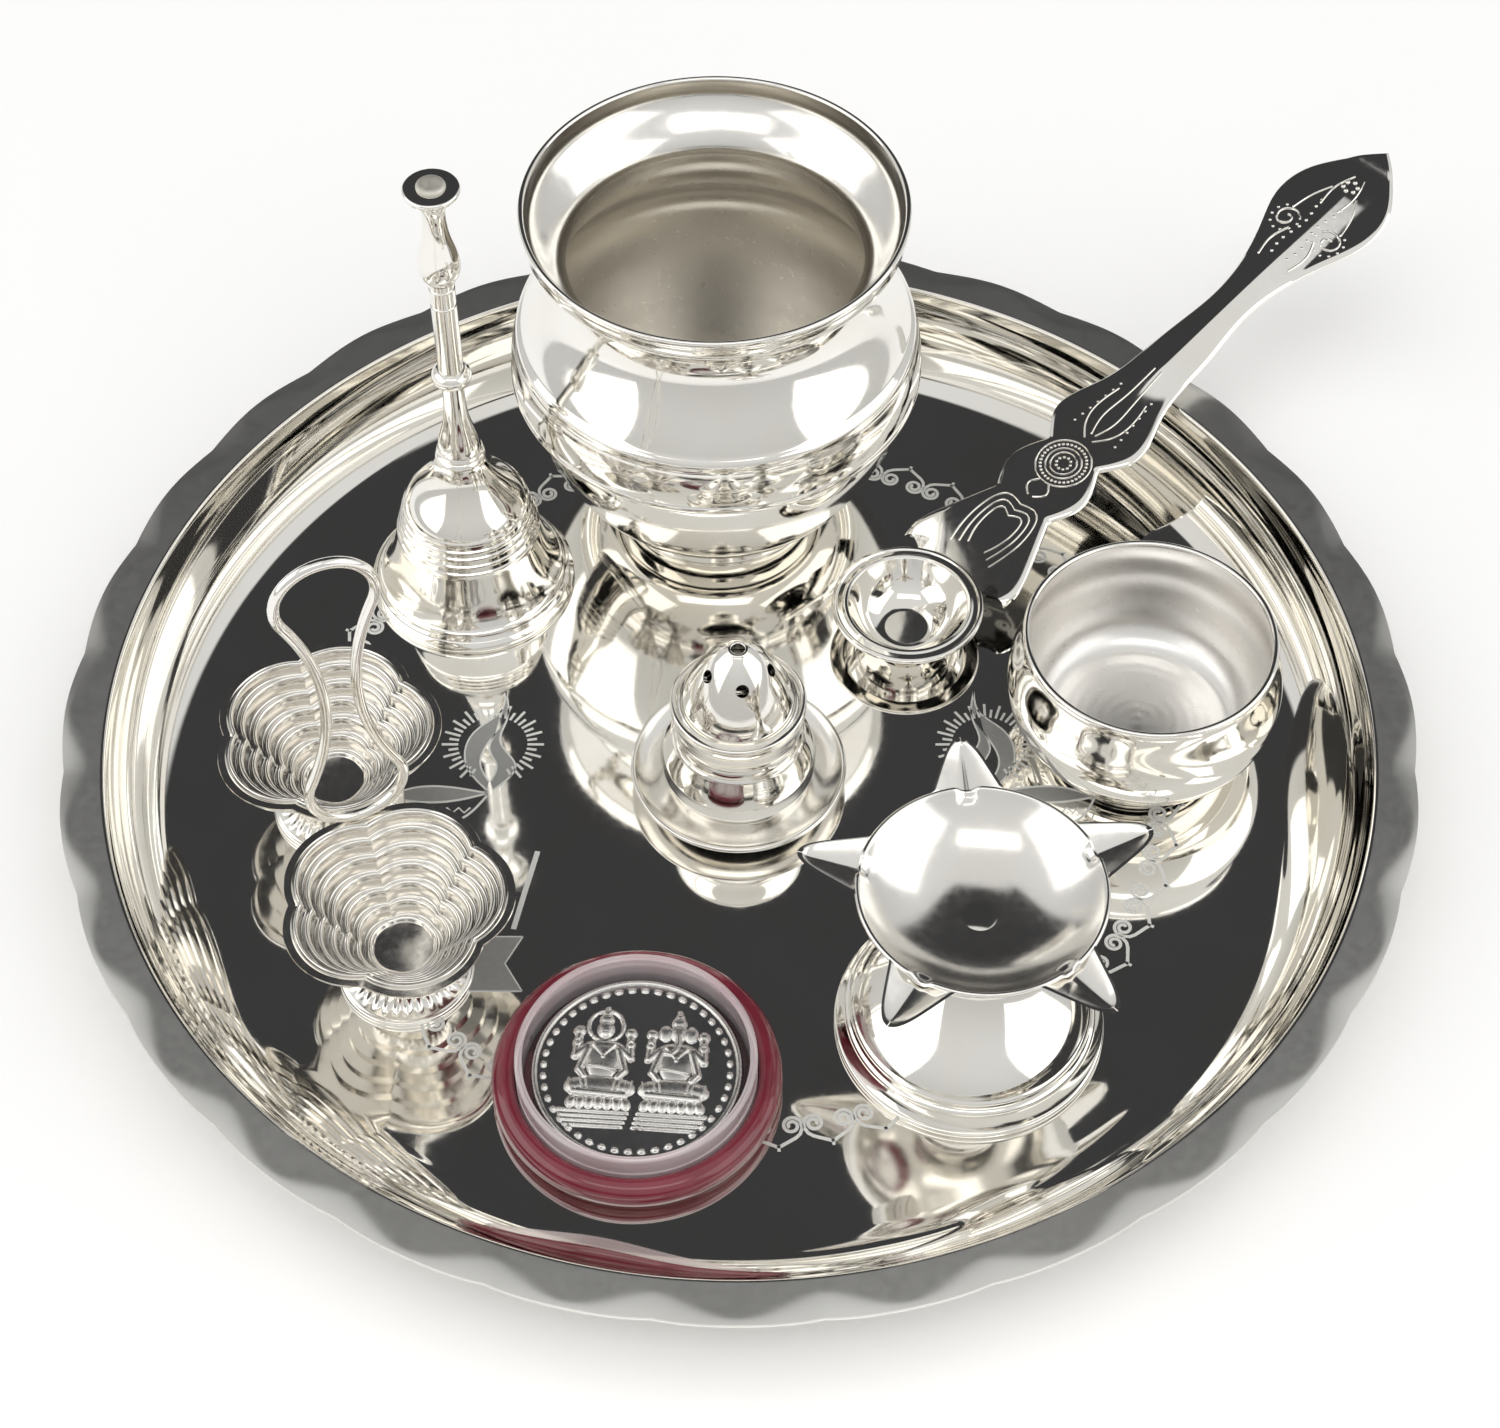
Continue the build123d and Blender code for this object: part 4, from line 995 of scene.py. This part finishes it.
def build_handle():
    stations = np.concatenate((np.linspace(0, 0.9, 240), np.linspace(0.9, 0.9985, 60)[1:]))
    rows = np.sin(np.linspace(-math.pi / 2, math.pi / 2, 45))
    top = []
    under = []
    for share in stations:
        for v in rows:
            x = share * HANDLE_L
            for _ in range(4):
                y = v * max(handle_width(x), 0.05)
                x = between(rim_cut(y), HANDLE_L, share)
            top.append(on_handle(x, y, handle_top(x, y)))
            under.append(on_handle(x, y, -HANDLE_MID))
    make_piece(
        "aarti_blade", aarti, top + under, slab_faces(len(stations), len(rows)), "aarti_spoon", [polished],
        ["aarti_handle"], crease=40,
    )


STUD_SIDES = 10
STUD_LEVELS = (-0.35, 0.0, 0.5, 0.85)


def stud(point, radius, height, up):
    """Vertices and faces of a low round bead standing on a point."""
    side = unit(np.cross(up, (0.31, 0.87, 0.38)))
    loop = [(0, height * STUD_LEVELS[0])]
    for level in STUD_LEVELS:
        loop.append((radius * math.sqrt(1 - max(level, 0) ** 2), height * level))
    loop.append((0, height))
    return set_on(point, unit(up), side, loop, STUD_SIDES)


ROSETTE_X = 31.0
SCROLL_X = 107
SCROLL_Y = 5.6
TIP_FLOWER_X = 121
# Curves drawn on both halves of the blade: points, half width of the line and steps of the curve
HANDLE_CURVES = (
    (((21, 0.6), (23, 2.4), (25.2, 1.2)), 0.22, 8),
    (((38.5, 1.0), (42, 3.6), (46, 4.4), (52, 3.6)), 0.2, 10),
    (((40, 0.5), (44, 1.6), (50, 1.4), (60, 0.9)), 0.2, 10),
    (((96, 3.9), (101, 4.6), (105, 3.3)), 0.24, 10),
    (((110, 6.3), (115, 5.2), (119, 3.2)), 0.24, 10),
    (((114, 2.2), (119, 2.6), (124, 1.2)), 0.22, 10),
)


def build_handle_ornament():
    parts = []

    def line(points, width):
        raised = [on_handle(x, y, handle_top(x, y) + 0.03) for x, y in points]
        parts.append(tube(raised, width, False, 8))

    def dot(x, y, size):
        parts.append(stud(on_handle(x, y, handle_top(x, y)), size, size * 0.8, handle_up))

    def dots_round(middle_x, radius, count, size):
        for i in range(count):
            u, v = polar(radius, FULL * i / count)
            dot(middle_x + u, v, size)

    for radius in (2.7, 3.7, 5.7):
        line(arc((ROSETTE_X, 0), radius, 0, 360, 60), 0.2)
    dots_round(ROSETTE_X, 1.5, 10, 0.34)
    dots_round(ROSETTE_X, 4.7, 34, 0.34)
    dots_round(TIP_FLOWER_X, 1.5, 6, 0.5)
    for side in SIDES:
        for k in range(3):
            arch = [(5 - k, 2.2 + 1.5 * k), (11 + k * 1.3, 3.6 + 1.25 * k), (15.6 + k * 1.5, 2.2 + 0.7 * k)]
            arch.append((14.6 + k * 1.8, 0))
            line(spline([(x, side * y) for x, y in arch], steps=10), 0.2)
        for points, width, steps in HANDLE_CURVES:
            line(spline([(x, side * y) for x, y in points], steps=steps), width)
        curl = []
        for t in np.linspace(-1.2, 6.6, 40):
            u, v = polar(2.6 - 0.28 * t, t)
            curl.append((SCROLL_X + u, side * (SCROLL_Y + v)))
        line(curl, 0.26)
        for i in range(7):
            dot(40.5 + i * 2.1, side * (5.4 - 0.22 * i), 0.3)
        for i in range(9):
            dot(98 + i * 2.1, side * (2.0 + 0.5 * math.sin(i)), 0.36)
        for i in range(8):
            angle = math.radians(40 + i * 32)
            dot(SCROLL_X + 3.6 * math.cos(angle), side * (SCROLL_Y + 3.2 * math.sin(angle)), 0.32)
    make_piece("aarti_emboss", aarti, *gather(parts), "aarti_spoon", [stamped])


build_handle()
build_handle_ornament()


# Five-spout lamp: pedestal, base ring, seat, flush rivet, dish with a dipped rim and trough spouts
diya = axis_of("diya_rivet")
spin_sheet(
    "diya_stem", diya,
    spline([(23.6, 2.0), (20.16, 7.3), (13.24, 13.64), (6.69, 22.67), (8.4, 32.0)], (-1, 1), (1, 1), 26),
    "diya", "diya_pedestal", beads=[(6.2, 0.2, 0.5), (4.6, 0.3, 0.6)], turns=144,
)
spin(
    "diya_base_ring", diya,
    rounded(
        (22.1, 0, 0.2), (24.3, 0, 0.6), (24.3, 1.3, 0.5), (23.7, 1.5, 0), (23.9, 2.5, 0.4),
        (22.6, 2.8, 0.2), (22.1, 1.5, 0.1),
    ),
    "diya", turns=144,
)
spin(
    "diya_seat", diya, rounded((1.6, 31.8, 0.1), (8.6, 31.8, 0.2), (8.6, 32.8, 0.2), (1.6, 32.8, 0.1)),
    "diya", turns=96,
)
spin(
    "diya_flush_rivet", diya,
    np.array((
        (0, 34.0), (1.4, 33.97), (2.6, 33.88), (3.0, 33.8), (1.5, 33.7), (1.5, 31.8), (3.0, 31.8),
        (2.8, 31.0), (1.6, 30.65), (0, 30.6),
    )),
    "diya", ["diya_rivet"], turns=64,
)

SPOUTS = 5
SPOUT_TURN = math.radians(22.4)
SPOUT_REACH = 32.3
SPOUT_WIDTH = 12.6
SPOUT_DEPTH = 5.2
SPOUT_CHANNEL = 2.4
SPOUT_LIP = 0.7
NOTCH_DEPTH = 1.1
DISH_RIM_Z = 42.3
DISH_WELL_R = 3.2
DISH_ROUND_Z = 56.6
DISH_ROUND_R = 23.3


def notched(r, z, angle):
    """Dish wall with a small dip in its rim behind each spout."""
    half = math.pi / SPOUTS
    away = abs((angle - SPOUT_TURN + half) % (2 * half) - half) * r
    return r, z - float(NOTCH_DEPTH * smooth_step(40.0, 42.0, z) * (1 - smooth_step(0.6, 2.2, away)))


spin_sheet(
    "diya_dish", diya,
    chain(
        [(0, 33.3), (1.6, 33.3)],
        arc((DISH_WELL_R, DISH_ROUND_Z), DISH_ROUND_R, -90, -39.2, 36),
    ),
    "diya", "diya_bowl", [soft], turns=200, change=notched,
)


def spout_skin(width, depth, bow, reach, back, across):
    """Points of one trough skin: rows from the dish's wall to the tip, across from edge to edge."""
    rows = []
    for share in np.linspace(0, 1, 30):
        taper = between(1.0, 0.30, share) * math.sqrt(max(1 - share**8, 0.004))
        row = []
        for v in across:
            y = width / 2 * v
            z = DISH_RIM_Z - depth * (1 - abs(v) ** bow)
            wall = DISH_WELL_R + math.sqrt(DISH_ROUND_R**2 - (DISH_ROUND_Z - z) ** 2) + back
            root = math.sqrt(max(wall**2 - y * y, 1.0))
            row.append((between(root, reach, share), y * taper, DISH_RIM_Z - (DISH_RIM_Z - z) * taper))
        rows.append(row)
    return np.array(rows)


def build_spouts():
    across = np.sin(np.linspace(-math.pi / 2, math.pi / 2, 25))
    outer = spout_skin(SPOUT_WIDTH, SPOUT_DEPTH, 1.6, SPOUT_REACH, 0.0, across)
    inner = spout_skin(SPOUT_WIDTH - 2 * SPOUT_LIP, SPOUT_CHANNEL, 1.25, SPOUT_REACH - 0.9, 0.2, across)
    faces = slab_faces(*outer.shape[:2])
    points = np.concatenate((outer.reshape(-1, 3), inner.reshape(-1, 3)))
    for spout in range(SPOUTS):
        cosine, sine = polar(1.0, SPOUT_TURN + FULL * spout / SPOUTS)
        x = points[:, 0] * cosine - points[:, 1] * sine
        y = points[:, 0] * sine + points[:, 1] * cosine
        make_piece(
            f"diya_spout_{spout + 1}", diya, np.column_stack((x, y, points[:, 2])), faces, "diya", [soft],
            crease=40,
        )


build_spouts()


# Coin: struck disc with a dotted border, plinth lines and two seated figures in low relief
COIN_LOW = 2.4
COIN_TOP = 4.8
COIN_FIELD_R = 17.6
COIN_TURN = math.radians(-4.0)
COIN_STEPS = 360
COIN_POLE = 0.05
COIN_RELIEF = 0.75
RELIEF_FROM = 0.04
DOT_COUNT = 44
DOT_RING_R = 16.5
# Forms of a seated figure: domes are x, y, two half sizes, height and lean; ribs two ends, half width, height
FIGURE_DOMES = (
    (0, 1.6, 2.9, 4.2, 0.75), (0, 4.4, 3.3, 1.3, 0.65), (0, 7.9, 1.45, 1.75, 0.85),
    (0, 9.9, 1.25, 1.2, 0.75), (0, 11.1, 0.75, 0.95, 0.7), (0, 12.1, 0.35, 0.5, 0.6),
    (0, -3.6, 5.6, 2.0, 0.7), (0, 2.0, 0.5, 0.5, 1.0),
)
FIGURE_RIBS = (((-4.6, -5.0), (4.2, -5.4), 0.85, 0.75), ((-2.2, 0.2), (2.2, -0.4), 0.4, 0.95))
PAIRED_DOMES = (
    (4.3, -3.9, 2.0, 1.5, 0.85, -18), (4.6, 7.3, 1.0, 1.0, 0.8), (0.55, 8.2, 0.28, 0.16, 0.95),
)
PAIRED_RIBS = (
    ((2.0, 4.6), (0, 2.2), 0.28, 0.95), ((2.8, 4.2), (4.9, 2.2), 0.75, 0.75),
    ((4.9, 2.2), (4.6, 6.2), 0.62, 0.75), ((2.7, 3.6), (4.0, -0.6), 0.7, 0.8),
    ((4.0, -0.6), (2.9, -2.0), 0.6, 0.85),
    *[((2.6 + k, -2.6), (2.2 + k, -4.6), 0.16, 0.92) for k in range(4)],
)
TRUNK = ((0, 7.2), (0.15, 5.6), (-0.2, 4.3), (-1.0, 3.3), (-1.9, 3.5))


def round_back(away, half, height):
    """Round back of a raised line, over distances from its middle."""
    return height * np.sqrt(np.clip(1 - (away / half) ** 2, 0, 1))


def mound(x, y, middle_x, middle_y, half_x, half_y, height, turn=0.0):
    """Low elliptical dome over a field of points."""
    lean = math.radians(turn)
    across = (x - middle_x) * math.cos(lean) + (y - middle_y) * math.sin(lean)
    up = (y - middle_y) * math.cos(lean) - (x - middle_x) * math.sin(lean)
    return round_back(np.hypot(across / half_x, up / half_y), 1.0, height)


def bar(x, y, first, last, half, height):
    """Round-backed raised line between two points."""
    first = np.array(first, float)
    run = np.array(last, float) - first
    share = np.clip(((x - first[0]) * run[0] + (y - first[1]) * run[1]) / np.dot(run, run), 0, 1)
    away = np.hypot(x - first[0] - share * run[0], y - first[1] - share * run[1])
    return round_back(away, half, height)


def hoop(x, y, middle_x, middle_y, radius, half, height):
    """Round-backed raised ring."""
    return round_back(np.hypot(x - middle_x, y - middle_y) - radius, half, height)


def seated_figure(x, y, raised_ears):
    """Generic crowned figure with crossed legs and four arms, on a row of petals; x is from its middle."""
    forms = [mound(x, y, *dome) for dome in FIGURE_DOMES]
    forms += [bar(x, y, *rib) for rib in FIGURE_RIBS]
    for u in (-x, x):
        forms += [mound(u, y, *dome) for dome in PAIRED_DOMES]
        forms += [bar(u, y, *rib) for rib in PAIRED_RIBS]
        forms.append(hoop(u, y, 4.7, 4.9, 0.55, 0.3, 0.95))
        if raised_ears:
            forms.append(mound(u, y, 2.3, 7.7, 1.2, 1.6, 0.65))
    for k in range(7):
        forms.append(mound(x, y, -4.8 + 1.6 * k, -7.2, 0.85, 1.25, 0.65, 6 * (k - 3)))
    if raised_ears:
        forms += [bar(x, y, first, last, 0.6, 1.0) for first, last in zip(TRUNK[:-1], TRUNK[1:])]
    else:
        forms.append(hoop(x, y, 0, 8.6, 3.1, 0.24, 0.5))
        forms.append(bar(x, y, (-0.5, 6.9), (0.5, 6.9), 0.16, 0.92))
        forms.append(mound(x, y, 0, 7.5, 0.22, 0.4, 0.96))
    return np.maximum.reduce(forms)


def coin_height(x, y):
    """Relief of the coin's face over its field."""
    forms = [seated_figure(x + 6.2, y, False), seated_figure(x - 6.8, y, True)]
    for k in range(4):
        level = -8.9 - 0.95 * k
        forms.append(bar(x, y, (-13.2 + 0.5 * k, level), (-0.9 - 0.3 * k, level), 0.26, 0.5))
        forms.append(bar(x, y, (0.9 - 0.2 * k, level), (12.8 - 0.6 * k, level), 0.26, 0.5))
    for k in range(DOT_COUNT):
        forms.append(mound(x, y, *polar(DOT_RING_R, FULL * k / DOT_COUNT), 0.5, 0.5, 0.55))
    return np.maximum.reduce(forms) * COIN_RELIEF


def build_coin():
    radii = np.linspace(COIN_POLE, COIN_FIELD_R, 132)
    angles = np.linspace(0, FULL, COIN_STEPS, endpoint=False) - COIN_TURN
    relief = coin_height(radii[:, None] * np.cos(angles)[None, :], radii[:, None] * np.sin(angles)[None, :])
    rings = []
    for radius, heights in zip(radii, relief):
        rings.append([(radius, COIN_TOP + height) for height in heights])
    edge = ((17.75, COIN_TOP + 0.28), (18.0, COIN_TOP + 0.4), (18.4, COIN_TOP + 0.4), (18.6, COIN_TOP + 0.2))
    under = ((18.6, 2.6), (18.4, COIN_LOW), (9, COIN_LOW), (COIN_POLE, COIN_LOW))
    rings += [[point] * COIN_STEPS for point in edge + under]
    last_field = len(radii) - 1
    bands = []
    for i in range(len(rings) - 1):
        for k in range(COIN_STEPS):
            raised = i < last_field and max(relief[i, k], relief[i + 1, k]) > RELIEF_FROM
            bands.append(1 if raised or last_field <= i < last_field + len(edge) else 0)
    bands += [0, 0]
    make_piece(
        "struck_coin", coin_place, on_rings(rings), grid_faces(len(rings), COIN_STEPS, caps=True), "coin",
        [coin_field, coin_relief], ["coin"], "coin_silver", bands, crease=60,
    )


build_coin()


# Engraving on the tray floor: matte strokes and fills a few hundredths of a millimetre high
STROKE_TOP = 0.05
PATCH_TOP = 0.03
ENGRAVED_FOOT = -0.05
BORDER_UNITS = 55
BORDER_TURN = math.radians(65.3)
BORDER_R = 80.4
SUN_X = 47.8
SUN_Y = 4.6
RAYS = 40
RAY_FOOT = 6.7


def patch(left, right, top=PATCH_TOP):
    """Vertices and faces of a flat filled shape between two edges with as many points each."""
    vertices = []
    for a, b in zip(left, right):
        vertices += [(*a, ENGRAVED_FOOT), (*a, top), (*b, top), (*b, ENGRAVED_FOOT)]
    return vertices, grid_faces(len(left), 4, caps=True)


def stroke(points, width):
    """Vertices and faces of a flat raised stroke along points in plan."""
    points = np.asarray(points, float)
    half = np.full(len(points), width / 2)
    return patch(beside(points, half), beside(points, -half), STROKE_TOP)


def border_unit(angle):
    """Strokes of one border unit: two stems from a point, each ending in a curl."""
    joint_x = FULL / BORDER_UNITS / 2 * BORDER_R
    path = [(0, 84.7), (joint_x * 0.45, 83.6), (joint_x * 0.85, 82.4)]
    for t in np.linspace(0, 1, 26):
        u, v = polar(between(1.75, 0.5, t), math.radians(200 + 560 * t))
        path.append((joint_x - 1.95 - u, 80.55 + v))
    parts = []
    for side in SIDES:
        placed = [polar(radius, angle + side * across / BORDER_R) for across, radius in path]
        parts.append(stroke(spline(placed, steps=2), 0.62))
    parts.append(stroke([polar(radius, angle) for radius in (84.3, 84.9, 85.5)], 0.55))
    return parts


def lamp_motif(side):
    """Strokes and fills of an oil lamp with its flame and rays."""
    strokes = []
    fills = []

    def place(points):
        return [(side * (SUN_X + x), SUN_Y + y) for x, y in points]

    def curve(*points):
        return place(spline(points, steps=8))

    for i in range(RAYS):
        angle = FULL * i / RAYS
        reach = 9.9 if i % 2 == 0 else 8.6
        over_lamp = -2.1 < angle - math.pi * 1.5 < 0.35 and math.sin(angle) < -0.93
        if not over_lamp:
            ray = [polar(r, angle) for r in (RAY_FOOT, (RAY_FOOT + reach) / 2, reach)]
            strokes.append(stroke(place(ray), 0.5))
    outer = curve((0.6, -11.0), (5.0, -4.5), (3.6, 3.2), (-1.2, 8.2), (-1.9, 13.0))
    inner = curve((-0.6, -11.0), (-4.6, -5.0), (-1.4, 0.6), (-2.4, 6.0), (-1.9, 13.0))
    core_right = curve((0.3, -9.0), (2.2, -4.6), (1.4, -0.6), (-0.3, 2.6))
    core_left = curve((0.0, -9.0), (-1.0, -5.0), (0.5, -1.6), (-0.3, 2.6))
    core_end = len(core_right)
    fills.append(patch(core_right, outer[:core_end]))
    fills.append(patch(core_left, inner[:core_end]))
    fills.append(patch(outer[core_end - 1:], inner[core_end - 1:]))
    rim_top = curve((0.5, -11.8), (6, -10.6), (14, -10.4), (20, -12.6))
    rim_low = curve((0.5, -11.8), (6, -13.4), (14, -13.8), (20, -12.6))
    bowl = curve((0.5, -12.4), (4.5, -17.4), (11, -19.6), (17, -17.6), (20, -12.8))
    fills.append(patch(rim_top, rim_low))
    zigzag = place([(3.5 + 1.1 * k, -15.2 - 1.2 * (k % 2)) for k in range(13)])
    strokes += [stroke(edge, 0.35) for edge in (outer, inner, core_right, core_left, zigzag)]
    strokes += [stroke(edge, 0.45) for edge in (rim_top, rim_low, bowl)]
    return strokes, fills


def ribbon_motif(side):
    """Strokes and fills of a slanting stem over a swallow-tailed ribbon end."""
    stem = [(side * x, y) for x, y in ((38.0, -20.8), (39.9, -29.6), (41.7, -38.4))]
    upper = [(side * x, -40.1) for x in (39.9, 42.9, 52.0)]
    middle = [(side * x, -46.0) for x in (42.9, 44.5, 52.0)]
    lower = [(side * x, -52.0) for x in (39.5, 42.9, 52.0)]
    tail = [upper[0], middle[0], lower[0]]
    strokes = [stroke(stem, 1.0)] + [stroke(edge, 0.3) for edge in (upper, lower, tail)]
    return strokes, [patch(upper, middle), patch(middle, lower)]


def build_engraving():
    strokes = []
    fills = []
    for k in range(BORDER_UNITS):
        strokes += border_unit(BORDER_TURN + FULL * k / BORDER_UNITS)
    for side in SIDES:
        for motif in (lamp_motif, ribbon_motif):
            motif_strokes, motif_fills = motif(side)
            strokes += motif_strokes
            fills += motif_fills
    for name, parts, material in (
        ("tray_engraved_lines", strokes, frosted),
        ("tray_engraved_fields", fills, frosted_fill),
    ):
        make_piece(name, tray_place, *gather(parts), "tray", [material], slot="tray_silver", crease=20)


build_engraving()


# Small CAD pieces that keep their own shape
for node in ("bell_tie_rod", "bell_clapper", "incense_rivet"):
    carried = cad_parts[node]
    carried.data.materials.clear()
    carried.data.materials.append(dull_rod)


# Stage: pale floor that keeps the soft shadow, softboxes and a dark flag behind the tray
FLOOR_REACH = 4.0
FLOOR_GAP = 0.0003
FLAG_AZIMUTH = math.radians(40)
FLAG_LOW = math.radians(4)
FLAG_HIGH = math.radians(69)
FLAG_COLOUR = (0.045, 0.045, 0.047, 1)
ROOM_LOW = math.radians(-10)
ROOM_HIGH = math.radians(65)
ROOM_LOW_COLOUR = (0.58, 0.58, 0.57, 1)
ROOM_HIGH_COLOUR = (0.76, 0.76, 0.75, 1)
WHITE = (1, 1, 1, 1)


def build_floor():
    mesh = bpy.data.meshes.new("studio_floor")
    low = cad_low.z - FLOOR_GAP
    corners = [(x * FLOOR_REACH, y * FLOOR_REACH, low) for x, y in ((-1, -1), (1, -1), (1, 1), (-1, 1))]
    mesh.from_pydata(corners, [], [(0, 1, 2, 3)])
    ground = bpy.data.objects.new("studio_floor", mesh)
    bpy.context.collection.objects.link(ground)
    material, tree, shader = new_material("studio_floor")
    pale = tint(tree, noise(tree, 3, 2), (0.90, 0.90, 0.90), (0.92, 0.92, 0.92))
    feed(tree, shader, {"Roughness": 0.9, "Base Color": pale})
    mesh.materials.append(material)


def build_world():
    """White to the camera; to the metal, a grey room with a dark flag, which its level mirrors show."""
    world = bpy.data.worlds.new("studio")
    bpy.context.scene.world = world
    world.use_nodes = True
    tree = world.node_tree
    tree.nodes.clear()

    def maths(operation, *values):
        node = add_node(tree, "ShaderNodeMath", dict(enumerate(values)))
        node.operation = operation
        return node.outputs["Value"]

    def edge(source, low, high, first, last):
        node = map_range(tree, source, low, high, first, last)
        node.interpolation_type = "SMOOTHSTEP"
        return node.outputs["Result"]

    def blend(factor, first, second):
        node = add_node(tree, "ShaderNodeMix")
        node.data_type = "RGBA"
        feed(tree, node, {"Factor": factor, "A": first, "B": second})
        return node.outputs["Result"]

    def background(colour):
        return add_node(tree, "ShaderNodeBackground", {"Color": colour}).outputs["Background"]

    direction = add_node(tree, "ShaderNodeTexCoord").outputs["Generated"]
    parts = add_node(tree, "ShaderNodeSeparateXYZ", {"Vector": direction}).outputs
    azimuth = maths("ABSOLUTE", maths("ARCTAN2", parts["X"], parts["Y"]))
    height = maths("ARCSINE", parts["Z"])
    across = edge(azimuth, FLAG_AZIMUTH - 0.05, FLAG_AZIMUTH + 0.05, 1, 0)
    above = edge(height, FLAG_LOW - 0.03, FLAG_LOW + 0.03, 0, 1)
    below = edge(height, FLAG_HIGH - 0.03, FLAG_HIGH + 0.03, 1, 0)
    flag = maths("MULTIPLY", maths("MULTIPLY", across, above), below)
    grey = blend(edge(height, ROOM_LOW, ROOM_HIGH, 0, 1), ROOM_LOW_COLOUR, ROOM_HIGH_COLOUR)
    room = background(blend(flag, grey, FLAG_COLOUR))
    seen = add_node(tree, "ShaderNodeLightPath").outputs["Is Camera Ray"]
    choose = add_node(tree, "ShaderNodeMixShader", {"Fac": seen, 1: room, 2: background(WHITE)})
    add_node(tree, "ShaderNodeOutputWorld", {"Surface": choose.outputs["Shader"]})


def soft_lamp(name, place, target, size, power, colour):
    """Rectangular soft lamp that looks at a point."""
    light = bpy.data.lights.new(name, "AREA")
    light.shape = "RECTANGLE"
    light.size = size[0]
    light.size_y = size[1]
    light.energy = power
    light.color = colour
    lamp = bpy.data.objects.new(name, light)
    lamp.location = place
    aim = Vector(target) - Vector(place)
    lamp.rotation_euler = aim.to_track_quat("-Z", "Y").to_euler()
    bpy.context.collection.objects.link(lamp)
    return lamp


LAMP_TARGET = (0, 0, 0.03)
LAMP_COLOUR = (1.0, 0.99, 0.97)
build_floor()
build_world()
top_lamp = soft_lamp("top_softbox", (0, 0, 1.5), (0, 0, 0), (2.0, 1.6), 9.0, (1.0, 0.99, 0.98))
top_lamp.visible_glossy = False
soft_lamp("left_softbox", (-1.2, -0.25, 0.75), LAMP_TARGET, (1.6, 1.2), 5.6, LAMP_COLOUR)
soft_lamp("right_softbox", (1.2, -0.25, 0.75), LAMP_TARGET, (1.6, 1.2), 5.4, LAMP_COLOUR)
soft_lamp("front_strip", (-0.05, -0.55, 1.29), LAMP_TARGET, (1.0, 0.3), 1.3, LAMP_COLOUR)

camera_data = bpy.data.cameras.new("photo_camera")
camera_data.sensor_fit = "HORIZONTAL"
camera_data.sensor_width = 36.0
camera_data.lens = 71.336
camera_data.clip_start = 0.01
camera = bpy.data.objects.new("photo_camera", camera_data)
camera.location = (0.001987, -0.345793, 0.45778)
camera.rotation_euler = (math.radians(38.089), 0, 0)
bpy.context.collection.objects.link(camera)
bpy.context.scene.camera = camera
bpy.context.scene.view_settings.view_transform = "Standard"
